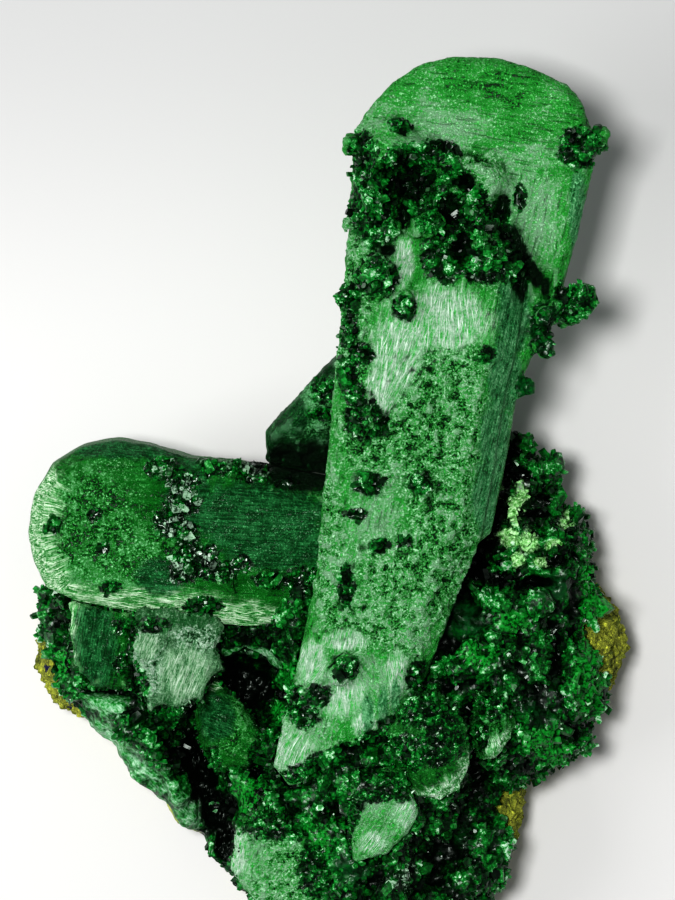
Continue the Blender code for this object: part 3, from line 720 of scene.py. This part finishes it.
def random_value(tree, seed, shift=0, ends=None, kind="FLOAT", output=1):
    """A number from 0 to 1 for each crystal, or a value of another kind between its ends' inputs."""
    inputs = {**(ends or {}), "Seed": maths(tree, "ADD", seed, shift) if shift else seed}
    return add(tree, "FunctionNodeRandomValue", inputs, data_type=kind).outputs[output]


def druse_growth():
    """Small slanted crystals over the faces that look outward, thick where the druse mark is strong."""
    tree, given = with_inputs(
        "grown druse",
        {
            "Spacing": 0.6, "Thickest": 1.5, "Smallest": 0.5, "Largest": 2.0, "Lean": 0.5, "Start": 0.5,
            "On Sides": 0.0, "Patch Size": 1.6, "Seed": 1,
        },
    )
    place = add(tree, "GeometryNodeInputPosition").outputs[0]
    there = vector_maths(tree, "SCALE", place, Scale=1 / MM)
    patchy = bumps(tree, there, given["Patch Size"], "patches")
    amount = maths(tree, "MULTIPLY_ADD", patchy, PATCHINESS, attribute(tree, "druse"))
    amount = maths(tree, "MULTIPLY_ADD", attribute(tree, "bare"), -1.0, amount)
    upright = add(tree, "GeometryNodeInputNormal").outputs[0]
    facing = parts_of(tree, upright)["Z"]
    steep = maths(tree, "SUBTRACT", LEVEL_FACES, facing, clamp=True)
    amount = maths(tree, "MULTIPLY_ADD", steep, given["On Sides"], amount)
    amount = spread(tree, amount, given["Start"], maths(tree, "ADD", given["Start"], THINNING), "LINEAR")
    level = parts_of(tree, place)["Z"]
    amount = times(tree, amount, maths(tree, "GREATER_THAN", level, LOWEST_DRUSE * MM))
    seed = given["Seed"]
    points = add(
        tree, "GeometryNodeDistributePointsOnFaces",
        {
            "Mesh": given["Geometry"],
            "Distance Min": times(tree, given["Spacing"], MM),
            "Density Max": maths(tree, "DIVIDE", given["Thickest"], MM * MM),
            "Density Factor": amount,
            "Seed": seed,
        },
        distribute_method="POISSON",
    ).outputs
    shapes = add(tree, "GeometryNodeJoinGeometry")
    for shape in CRYSTALS:
        tree.links.new(crystal_shape(tree, *shape), shapes.inputs[0])
    skewed = maths(tree, "POWER", random_value(tree, seed), MOSTLY_SMALL)
    span = maths(tree, "SUBTRACT", given["Largest"], given["Smallest"])
    size = maths(tree, "MULTIPLY_ADD", skewed, span, given["Smallest"])
    uneven = random_value(tree, seed, 0, {0: LEAST_UNEVEN, 1: MOST_UNEVEN}, "FLOAT_VECTOR", 0)
    scale = vector_maths(tree, "SCALE", uneven, Scale=times(tree, size, MM))
    lean = given["Lean"]
    back = times(tree, lean, -1.0)
    least = add(tree, "ShaderNodeCombineXYZ", {"X": back, "Y": back}).outputs[0]
    most = add(tree, "ShaderNodeCombineXYZ", {"X": lean, "Y": lean, "Z": math.tau}).outputs[0]
    turn = random_value(tree, seed, 7, {0: least, 1: most}, "FLOAT_VECTOR", 0)
    turned = add(tree, "FunctionNodeEulerToRotation", {"Euler": turn}).outputs[0]
    both = {"Rotation": points["Rotation"], "Rotate By": turned}
    rotation = add(tree, "FunctionNodeRotateRotation", both, rotation_space="LOCAL").outputs[0]
    kinds = {4: 0, 5: len(CRYSTALS) - 1}
    grown = add(
        tree, "GeometryNodeInstanceOnPoints",
        {
            "Points": points["Points"],
            "Instance": shapes.outputs[0],
            "Pick Instance": True,
            "Instance Index": random_value(tree, seed, 3, kinds, "INT", 2),
            "Rotation": rotation,
            "Scale": scale,
        },
    ).outputs[0]
    tint = {"Geometry": grown, "Name": "tint", "Value": random_value(tree, seed, 5)}
    tinted = add(tree, "GeometryNodeStoreNamedAttribute", tint, data_type="FLOAT", domain="INSTANCE")
    finish_tree(tree, tinted.outputs[0], given["Material"])
    return tree


def druse_on(ground, name, slot, **values):
    """Crystals grown over a finished piece, as a piece of their own that rides beside it."""
    made = in_scene(name, ground.data.copy())
    run_tree(made, grown_druse, druse_malachite, **values)
    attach(made, "root")


sparkling = facet_group()
grown_druse = druse_growth()
druse_malachite = druse_stone()
crust = even_copy("drusy_crust", "drusy_crust_mass", CRUST_FACE)
mark(crust.data, CRUST_MARKS)
run_tree(
    crust, weathered, crust_stone(),
    Soften=1, Swell_Depth=0.5, Lump_Size=6.5, Lump_Depth=1.6, Grain_Size=0.9, Grain_Depth=0.3, Druse_Size=2.6,
    Druse_Depth=0.9, Sink_Depth=6.0,
)
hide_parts("drusy_crust")
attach(crust, "root")
druse_on(
    crust, "crust_fine_druse", "drusy_crust",
    Spacing=0.7, Thickest=1.5, Smallest=0.45, Largest=1.5, Start=0.78, Patch_Size=4.0, Seed=1,
)
druse_on(
    crust, "crust_coarse_druse", "drusy_crust",
    Spacing=2.4, Thickest=0.12, Smallest=1.4, Largest=2.8, Start=0.8, Patch_Size=4.0, Lean=0.3, Seed=3,
)

# The tall blade: two parallel azurite crystals turned to felted malachite. The upper part is a fine felt,
# the middle silky and mossy, the foot fibrous fans, with druse around the step between the two crystals.
TALL_HEADING = 77.5
BLADE_FACE = 0.42
MOSS_DARK = (0.001, 0.02, 0.004)
TALL_TONES = {
    "felt": (0.034, 0.38, 0.05), "pale": (0.25, 0.57, 0.28),
    "silk_dull": (0.28, 0.50, 0.31), "silky": (0.58, 0.74, 0.60),
    "smooth": (0.036, 0.24, 0.08), "smooth_pale": (0.20, 0.50, 0.25),
    "moss_bright": (0.08, 0.40, 0.10), "moss_pale": (0.33, 0.62, 0.36),
}
# The dark gap right of the druse mound, which curves down the blade and narrows. It is sunk, and painted
# black as painted shade.
GAP = [(28.8 + 0.6 * step + 0.06 * step**2, 46.2 - 1.3 * step, 1.8 - 0.18 * step, 1.6) for step in range(7)]
TALL_MARKS = {
    "druse": [
        (5.4, 58.6, 2.6, 4.6), (7.6, 50.4, 4.4, 6.6), (12.6, 56.6, 5, 4.2), (17.4, 59.4, 3.8, 2.2),
        (15.8, 52, 4.6, 4.6), (22, 48.8, 4.6, 4), (26.6, 48.6, 2.8, 3.2), (18.6, 43.2, 4.2, 4.8),
        (25.4, 42, 5, 3.8), (30, 40.4, 2.2, 3.2), (7.8, 39.6, 3.6, 3.4), (12.1, 34.9, 2, 2.2),
        (39.8, 60, 3.8, 3.6), (34.4, 31.5, 2.6, 5), (31.4, 22.6, 1.8, 2.2), (11.5, 63.4, 2.2, 1.4),
        (39.1, 35.9, 3.6, 3.8), (22.4, 52.4, 2.8, 2.6), (16, 48, 2.4, 3), (20, 55.8, 2.6, 1.6),
        (3.4, 36.4, 2, 2.6), (5.4, 27.6, 2.4, 2), (4.2, 21.4, 2, 2.2), (8, -2.6, 1.8, 1.4),
        (12.3, -1.8, 1.4, 1.2), (2.8, -21.8, 2.4, 2.2), (-4.6, -39.4, 2.6, 2), (-1.2, -37.6, 3, 2.2),
        (2.8, -36, 3, 2.2), (6.8, -34.2, 3, 2.4), (10.9, -32, 3, 2.6), (14, -29, 2.6, 3),
        (28.2, 45, 1.4, 4.5), (3.4, 31, 1.8, 3), (3.2, 24, 1.8, 3), (6.2, 17, 3.4, 3.2), (6.6, 7, 2.6, 2),
        (14.6, 7, 2, 1.6), (25, 27.5, 1.6, 1.6), (3, -9, 1.4, 3.8), (-1.5, -26.5, 2.4, 2),
        (15, -24, 2.6, 3.4), (4.4, 2.4, 2.2, 1), (-3.5, -29.4, 2.4, 2.6), (-6.4, -27, 2.6, 3.4),
        (6.5, 27.5, 1.2, 1), (30.4, 52.5, 1.2, 2),
    ],
    "silk": [
        (17, 33, 8, 5), (11, 28, 4, 6), (9, 22, 2.6, 4), (12, 42, 1.4, 4), (11, -23, 1.6, 4),
        (2.4, -26.4, 3.4, 3), (-2.5, -21, 2, 3.4), (3, -17.6, 3.4, 1.6), (-6, -35, 3.4, 4), (6, -31, 2, 2),
    ],
    "moss": [
        (15.6, 15, 14, 8.6), (15, -7.5, 11, 8), (20, 3, 7, 8), (0, -2, 2.5, 12), (4, 38, 3, 14),
        (27, 41, 4, 4), (4, 28, 3, 4), (17, 25, 9, 5), (5, -14, 6, 5), (-6, -28, 4, 4), (12, -16, 4, 4),
        (24, 57, 4, 2.4), (23, 51.6, 4, 3),
    ],
    "smooth": [
        (29.4, 34, 2.8, 7), (28, 24, 2.8, 7), (26.6, 14, 2.6, 7), (25.2, 5, 2.4, 6), (39.5, 50, 1.4, 8),
        (6.4, -29.5, 1, 3.4), (8.8, -28.5, 0.8, 3.6), (10.8, -26.6, 0.7, 3),
    ],
    "pale": [
        (33, 49, 4.5, 8), (15, 63.6, 11, 4.6), (31, 59, 7, 2.6), (30, 53, 4, 5), (7, 1.4, 4.6, 6.4),
        (4, 66, 4, 3), (2, -6, 2.5, 4), (-6, -36, 3, 3), (9, 8, 5, 3), (6, -14, 5, 3), (14, -15, 3, 4),
        (2, -24, 9, 7), (-4, -33, 6, 6), (12, -26, 4, 6), (9.5, 42, 2.4, 5),
    ],
    "frost_and_glint": [(9.5, 46.5, 1.6, 1.4), (22, 39.6, 2, 1.4), (6.4, 17.5, 1.4, 1.2)],
    # Sunk places, painted black there as painted shade.
    "sink": [
        *GAP, (13, 54.5, 3.4, 2.4), (22.2, 54.6, 1.2, 1.1), (27.8, 51, 1.1, 2), (19.4, 49.4, 1.4, 3),
        (12.2, 49.4, 0.9, 2.2), (21, 44.6, 1.6, 1.8), (9.4, 44, 1.2, 0.9), (30.6, 38.4, 0.9, 2.4),
    ],
    "glass": [(34.4, 31.5, 2.6, 4.6), (31.4, 22.6, 1.8, 2.2)],
    "bare": [(31.4, 22.6, 1.8, 2.2)],
}
# A spray of fibres is the middle of its patch, the patch's reach both ways, and the point it spreads from.
TALL_SPRAYS = [
    (22, 64, 22, 9, -120, 85), (20, 33, 3.5, 5, 21, 55), (11, 26, 4, 7, 4, 5), (3, -25.5, 7, 5.4, 3, -17),
    (11, -22, 4, 8, 9, -6), (-6, -35, 5, 6, 3, -18),
]
RAGGED_SPRAY = 0.3
SPRAY_WAVES = (1.9, 1.7)
NEAREST_SPRAY = 5.0


def lay_fibres(mesh, heading, sprays=()):
    """The lie attribute: places across and along the fibres, which follow the heading or spread from a point.

    A face lies wholly in one spray or in none, so that fibres meet in a clean line. Angles are measured from
    the way that a spray faces."""
    ends = rows(mesh.loops, "vertex_index", 1, np.int64)[:, 0]
    sizes = rows(mesh.polygons, "loop_total", 1, np.int64)[:, 0]
    middles = np.repeat(rows(mesh.polygons, "center") / MM, sizes, axis=0)
    places = (rows(mesh.vertices, "co") / MM)[ends]
    turn = math.radians(heading)
    along = places[:, 0] * math.cos(turn) + places[:, 1] * math.sin(turn)
    across = places[:, 0] * math.sin(turn) - places[:, 1] * math.cos(turn)
    wave_x, wave_y = SPRAY_WAVES
    uneven = RAGGED_SPRAY * np.sin(middles[:, 0] * wave_x) * np.cos(middles[:, 1] * wave_y)
    for x, y, reach_x, reach_y, from_x, from_y in sprays:
        out = ((middles[:, 0] - x) / reach_x) ** 2 + ((middles[:, 1] - y) / reach_y) ** 2
        inside = out + uneven < 1
        away_x = places[:, 0] - from_x
        away_y = places[:, 1] - from_y
        reach = math.hypot(x - from_x, y - from_y)
        facing = math.atan2(y - from_y, x - from_x)
        angle = (np.arctan2(away_y, away_x) - facing + math.pi) % math.tau - math.pi
        across = np.where(inside, angle * max(reach, NEAREST_SPRAY), across)
        along = np.where(inside, np.hypot(away_x, away_y), along)
    lie = np.stack([across, along, places[:, 2]], axis=1)
    mesh.attributes.new("lie", "FLOAT_VECTOR", "CORNER").data.foreach_set("vector", lie.ravel())


def strands(tree, lie, size, low, high, drawn, sharp=0.65, detail=4.0, through=1, turn=0):
    """A speckle drawn out along the fibres, the longer the smaller the number for it."""
    return speckle(tree, lie, size, low, high, detail, (1, drawn, through), sharp, turn)


def felted_stone(name, tones, gloss=0.45):
    """Felted malachite: a fine two-tone felt, mossy, silky, polished, drusy or glassy where it is marked."""
    felt = tones["felt"]
    made, tree, shader = malachite(name, gloss, ior=1.5, shine=0.25)
    places = millimetres(tree)
    lie = add(tree, "ShaderNodeAttribute", attribute_name="lie").outputs["Vector"]
    crumbs = speckle(tree, places, 0.38, 0.4, 0.6, sharp=0.75)
    clumps = speckle(tree, places, 1.6, 0.4, 0.6, detail=4.0, sharp=0.65)
    patch = speckle(tree, places, 7.0, 0.36, 0.64, detail=4.0)
    pale_area = ragged(tree, "pale", places, 2.0, 0.9, 0.5, 0.3)
    smooth_area = ragged(tree, "smooth", places, 1.5, 0.8, 0.5, 0.15)
    rough_area = maths(tree, "SUBTRACT", 1.0, smooth_area)
    # felt, brushed one way, with dark streaks
    brushed = strands(tree, lie, 0.6, 0.38, 0.62, drawn=0.2, detail=5.0)
    share = weighted(tree, (patch, 0.24), (brushed, 0.28), (crumbs, 0.32), (pale_area, 0.31))
    stops = [(0.12, MOSS_DARK), (0.3, felt), (0.48, felt), (0.78, tones["pale"]), (1, tones["silk_dull"])]
    dark_streaks = strands(tree, lie, 0.42, 0.55, 0.64, drawn=0.07)
    colour = blended(tree, times(tree, dark_streaks, 0.55), ramp(tree, share, stops), MOSS_DARK)
    # moss, dark between its grains, partly as painted shade and highlight by how far it stands out
    moss_area = times(tree, ragged(tree, "moss", places, 1.6, 1.0, 0.45, 0.15), rough_area)
    heights = depth_range(tree, 0.4, -0.45)
    tone = weighted(tree, (crumbs, 0.48), (clumps, 0.22), (heights, 0.32), (patch, 0.12), (pale_area, 0.1))
    stops = [(0.32, MOSS_DARK), (0.45, felt), (0.6, tones["moss_bright"]), (0.84, tones["moss_pale"])]
    colour = blended(tree, moss_area, colour, ramp(tree, tone, stops))
    # silk, in two sets of fine strokes that cross
    strokes = maths(
        tree, "MAXIMUM",
        strands(tree, lie, 0.18, 0.43, 0.62, drawn=0.04, sharp=0.7, through=0.4, turn=5),
        strands(tree, lie, 0.23, 0.47, 0.64, drawn=0.07, sharp=0.7, through=0.4, turn=-9),
    )
    tone = weighted(tree, (strokes, 0.7), (crumbs, 0.2), (clumps, 0.25))
    stops = [(0.2, felt), (0.38, tones["pale"]), (0.56, tones["silk_dull"]), (0.84, tones["silky"])]
    silk_area = ragged(tree, "silk", mapped(tree, lie, Scale=(1, 0.22, 1)), 1.1, 1.1, 0.5, 0.22)
    colour = blended(tree, silk_area, colour, ramp(tree, tone, stops))
    # smooth faces, finely lined
    lined = strands(tree, lie, 0.28, 0.36, 0.64, drawn=0.06)
    tone = weighted(tree, (crumbs, 0.3), (lined, 0.5), (clumps, 0.3))
    polished = ramp(tree, tone, [(0.1, MOSS_DARK), (0.45, tones["smooth"]), (0.9, tones["smooth_pale"])])
    colour = blended(tree, times(tree, smooth_area, 0.92), colour, polished)
    # druse, black in its hollows and lighter on its lumps as painted shade and highlight, and a pale line
    #     # along the other edges
    normal, shade = facets(tree, places, 0.55, 0.6)
    druse_area = ragged(tree, "druse", places, 1.2, 0.9, 0.5, 0.1)
    heights = depth_range(tree, DRUSE_DEEPEST, DRUSE_HIGHEST)
    tone = weighted(tree, (heights, 0.5), (clumps, 0.25), (crumbs, 0.3), (shade, 0.12))
    colour = blended(tree, druse_area, colour, ramp(tree, tone, DRUSE_TONES))
    edges = times(tree, depth_range(tree, -0.25, -0.5), maths(tree, "SUBTRACT", 1.0, druse_area))
    colour = blended(tree, times(tree, edges, 0.55), colour, tones["silk_dull"])
    face = glassy(tree, weighted(tree, (clumps, 0.6), (crumbs, 0.4)))
    colour = blended(tree, ragged(tree, "glass", places, 1.2), colour, face)
    # Painted shade: dark in hollows and sunk places.
    colour = shaded_in_hollows(tree, colour, MOSS_DARK, places, 0.08, 0.7)
    loose = times(tree, crumbs, maths(tree, "SUBTRACT", 1.0, silk_area))
    height = weighted(tree, (loose, 1.0), (times(tree, strokes, silk_area), 0.6))
    either = add(tree, "ShaderNodeMix", {"Factor": druse_area}, data_type="VECTOR")
    tree.links.new(relief(tree, height, 0.3, 0.9), either.inputs["A"])
    tree.links.new(normal, either.inputs["B"])
    matt = maths(tree, "MULTIPLY_ADD", druse_area, -0.15, gloss)
    link_looks(tree, shader, Base_Color=colour, Normal=either.outputs["Result"], Roughness=matt)
    return made


def blade(node, name, marks, heading, sprays, stone, face=BLADE_FACE, **depths):
    """A bladed crystal in place of its solid, with its marks and the lie of its fibres."""
    made = even_copy(node, name, face)
    mark(made.data, marks)
    lay_fibres(made.data, heading, sprays)
    run_tree(made, weathered, stone, **depths)
    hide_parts(node)
    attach(made, "root")
    return made


tall_stone = felted_stone("felted malachite", TALL_TONES)
tall = blade(
    "tall_blade", "tall_blade_felt", TALL_MARKS, TALL_HEADING, TALL_SPRAYS, tall_stone,
    Soften=1, Swell_Size=3.0, Swell_Depth=0.3, Grain_Size=1.1, Grain_Depth=0.9, Groove_Depth=0.25,
    Druse_Size=3.0, Druse_Depth=1.3,
)
druse_on(
    tall, "tall_fine_druse", "tall_blade",
    Spacing=0.75, Thickest=1.4, Smallest=0.5, Largest=1.4, Seed=11,
)
druse_on(
    tall, "tall_coarse_druse", "tall_blade",
    Spacing=1.8, Thickest=0.25, Smallest=1.2, Largest=2.3, Start=0.6, Seed=12,
)

# The left blade: a rounded, saturated green crystal with a pale rim of fibres that spread outward at its
# end, a silky bevel along its lower side, and a band of small crystals across its middle.
LEFT_HEADING = -4
LEFT_TONES = {
    "felt": (0.009, 0.18, 0.017), "pale": (0.045, 0.33, 0.065),
    "silk_dull": (0.24, 0.58, 0.24), "silky": (0.72, 0.93, 0.68),
    "smooth": (0.005, 0.085, 0.021), "smooth_pale": (0.045, 0.27, 0.09),
    "moss_bright": (0.03, 0.30, 0.04), "moss_pale": (0.14, 0.45, 0.17),
}
LEFT_MARKS = {
    "druse": [
        (-26.4, 9.6, 3, 2), (-23, 7.4, 3, 2.4), (-23.4, 4, 3.2, 2.2), (-25.4, 0.6, 3, 2.4),
        (-22.4, -1.4, 2.2, 2.6), (-23, -6, 2.6, 3.4), (-19.6, -4.4, 2.4, 2), (-17.4, -7, 3.6, 2),
        (-13.8, -5.6, 2, 1.4), (-17.4, 10, 3.4, 2), (-12, 9, 2.8, 2.2), (-7, 7, 2, 1), (-9.4, -8.4, 3, 1.6),
        (-4, -8.6, 3, 2.6), (-34.9, -9.5, 2, 1), (-43.8, 0.5, 1.4, 1.6), (-37.3, 2.1, 1.4, 1.2),
        (-35.9, -3.1, 1.2, 1.2), (-20, -12.5, 3.4, 1.6),
    ],
    "frost_and_glint": [(-24.6, 6, 5, 6), (-23.6, -4, 3.4, 7), (-17, -7, 6, 3), (-12, 9, 4, 2.4)],
    "silk": [
        (-47.5, -2, 3.6, 7), (-46, 5, 3.4, 6), (-45, -8, 3.4, 4), (-30, -12.6, 12, 2.6), (-14, -15, 12, 2.6),
        (-42, -10.6, 4, 2), (-2, -16, 5, 2), (-22, -13.6, 8, 2.4),
    ],
    "moss": [(-38, 0, 7, 9), (-30, -5, 7, 5)],
    "smooth": [
        (-12, 2, 12, 5.5), (-30, 13, 12, 2), (-14, 10.5, 10, 1.4), (-8, -3, 9, 4), (-27, -8, 4, 3),
        (-22, 4, 4, 6),
    ],
    "pale": [(-42, -7, 2, 1.5), (-38, -9, 6, 2)],
    # Sunk places, painted black there as painted shade.
    "sink": [(-4, 8.6, 6, 2.8), (-10, 10, 3, 1.4)],
}
LEFT_SPRAYS = [(-46, 0, 6, 12, -30, 0)]
left_stone = felted_stone("saturated green malachite", LEFT_TONES, 0.36)
left = blade(
    "left_blade", "left_blade_felt", LEFT_MARKS, LEFT_HEADING, LEFT_SPRAYS, left_stone,
    Soften=3, Swell_Size=3.5, Swell_Depth=0.25, Grain_Size=0.8, Grain_Depth=0.2, Groove_Depth=0.35,
)
druse_on(
    left, "left_fine_druse", "left_blade",
    Spacing=0.65, Thickest=1.8, Smallest=0.5, Largest=1.7, Seed=21,
)

# The rear blade: a small dark crystal with a square chisel end, mostly in the shadow of the other two. It
# goes to black where it dips behind them: it is sunk there, and painted black as painted shade.
REAR_HEADING = 45
REAR_TONES = {
    "felt": (0.004, 0.08, 0.014), "pale": (0.09, 0.32, 0.13),
    "silk_dull": (0.16, 0.38, 0.2), "silky": (0.18, 0.44, 0.2),
    "smooth": (0.003, 0.05, 0.012), "smooth_pale": (0.02, 0.18, 0.04),
    "moss_bright": (0.05, 0.28, 0.07), "moss_pale": (0.16, 0.42, 0.2),
}
REAR_MARKS = {
    "druse": [(1, 22, 4, 2.4), (0, 18.4, 4, 1.2)],
    "moss": [(-3, 19, 6, 4)],
    "smooth": [(-6, 18, 3, 3)],
    "pale": [(-2, 20, 5, 3), (-5, 17, 3, 2)],
    # Sunk places, painted black there as painted shade.
    "sink": [(-7, 11, 3, 2.6), (-3, 9.5, 3, 4.4), (1, 9, 3, 5), (4, 9, 3, 6)],
}
rear_stone = felted_stone("dark green malachite", REAR_TONES, 0.4)
rear = blade(
    "rear_blade", "rear_blade_felt", REAR_MARKS, REAR_HEADING, (), rear_stone,
    Soften=1, Swell_Size=3.0, Swell_Depth=0.7, Grain_Depth=0.5, Groove_Depth=0.2, Druse_Depth=0.6,
    Sink_Depth=7.0,
)
druse_on(
    rear, "rear_fine_druse", "rear_blade",
    Spacing=0.8, Thickest=1.2, Smallest=0.5, Largest=1.3, Seed=31,
)

# The lesser blades: ends of smaller crystals that stand out of the crust. Each shows a different face:
# smooth, rough and pale, or with a rim of pale fibres.
LESSER_FACE = 0.35
BROKEN_TONES = {
    "felt": (0.02, 0.14, 0.035), "pale": (0.18, 0.36, 0.20),
    "silk_dull": (0.20, 0.41, 0.21), "silky": (0.48, 0.64, 0.48),
    "smooth": (0.01, 0.09, 0.02), "smooth_pale": (0.05, 0.2, 0.07),
    "moss_bright": (0.15, 0.36, 0.18), "moss_pale": (0.42, 0.58, 0.44),
}
RIM_TONES = {
    "felt": (0.012, 0.18, 0.02), "pale": (0.08, 0.38, 0.10),
    "silk_dull": (0.22, 0.60, 0.25), "silky": (0.70, 0.90, 0.70),
    "smooth": (0.006, 0.075, 0.02), "smooth_pale": (0.03, 0.24, 0.06),
    "moss_bright": (0.02, 0.24, 0.03), "moss_pale": (0.10, 0.38, 0.13),
}
broken_stone = felted_stone("dull rough malachite", BROKEN_TONES, 0.6)
rim_stone = felted_stone("pale rimmed malachite", RIM_TONES, 0.4)


def lesser_blade(node, seed, stone, heading, sprays=(), **marks):
    """A crystal's end that stands out of the crust, and the fine druse on it."""
    made = blade(
        node, f"{node}_felt", marks, heading, sprays, stone, LESSER_FACE,
        Soften=1, Swell_Size=2.6, Swell_Depth=0.8, Grain_Size=0.8, Grain_Depth=0.5, Groove_Depth=0.4,
        Druse_Depth=0.6,
    )
    druse_on(
        made, f"{node}_druse", node,
        Spacing=0.65, Thickest=1.5, Smallest=0.4, Largest=1.2, On_Sides=1.4, Seed=seed,
    )


lesser_blade(
    "shelf_blade", 41, left_stone, heading=80,
    silk=[(-41.2, -18.5, 1.8, 9)],
    druse=[(-33.4, -16, 1.6, 1.6), (-33, -22, 1.6, 2)],
    smooth=[(-37.6, -19, 3.6, 9)],
    pale=[(-36, -17, 2, 1.2)],
)
lesser_blade(
    "broken_blade", 42, broken_stone, heading=72,
    silk=[(-23, -23.4, 3.8, 4.4), (-29, -19, 2, 2)],
    druse=[(-30.5, -26, 2, 4), (-28, -15.6, 3, 1.4), (-23.5, -30.4, 4, 2), (-15.6, -21, 1.2, 3)],
    moss=[(-29.5, -22, 3, 6), (-21, -18, 4, 2), (-22, -30, 3, 2)],
    pale=[(-24, -22, 8, 8)],
)
lesser_blade(
    "hollow_blade", 43, left_stone, heading=-20,
    silk=[(-19, -26, 1.4, 1.2)],
    druse=[(-11, -37, 2, 3), (-19, -38, 2, 2.5)],
    moss=[(-16, -32, 3, 4)],
    smooth=[(-18, -31, 3, 4)],
)
lesser_blade(
    "lower_left_blade", 44, tall_stone, heading=80,
    silk=[(-15, -51, 2.4, 5)],
    druse=[(-8, -46.5, 7, 3.4), (-2, -54, 3, 5)],
    moss=[(-7, -52, 3, 3), (-8, -58, 5, 3)],
    pale=[(-12, -54, 6, 6)],
)
lesser_blade(
    "lower_middle_blade", 45, tall_stone, heading=60,
    silk=[(12.6, -44, 1.8, 3.4), (7, -49.6, 2, 1.6)],
    druse=[(6, -39, 5, 2), (11.5, -40.4, 4, 3), (8, -41.6, 4, 2), (3.4, -45, 1.8, 3.4)],
    pale=[(9, -46, 9, 8), (10, -45, 7, 6)],
)
lesser_blade(
    "rim_blade", 46, rim_stone, heading=60, sprays=[(17, -36, 9, 9, 15, -31)],
    silk=[(13.2, -43.8, 3.2, 2), (17.4, -43.4, 3.2, 2.4), (20.8, -41.2, 2.6, 2.6), (22.6, -38, 1.8, 2.8)],
    druse=[(16, -29, 6, 3), (12.6, -35.4, 4, 3.4), (16.6, -34.6, 4, 3.4), (19.6, -33.4, 2.4, 3.4)],
    bare=[(13.2, -44.4, 3, 1.6), (17.4, -44.2, 3, 1.8), (20.8, -42, 2.4, 2), (22.8, -38.6, 1.2, 2.4)],
)
lesser_blade(
    "small_rim_blade", 47, rim_stone, heading=60, sprays=[(27, -33, 6, 6, 25, -29)],
    silk=[(25.6, -39, 1.8, 2), (27.8, -37, 2, 2), (29.2, -34.4, 1.6, 2.4), (27, -35, 2, 2)],
    druse=[(26, -28, 4, 2.6), (24.4, -33, 1.4, 3)],
    bare=[(27, -37.5, 2.4, 2.6), (29.2, -34, 1.4, 2.4)],
    moss=[(26, -32, 3, 3)],
)
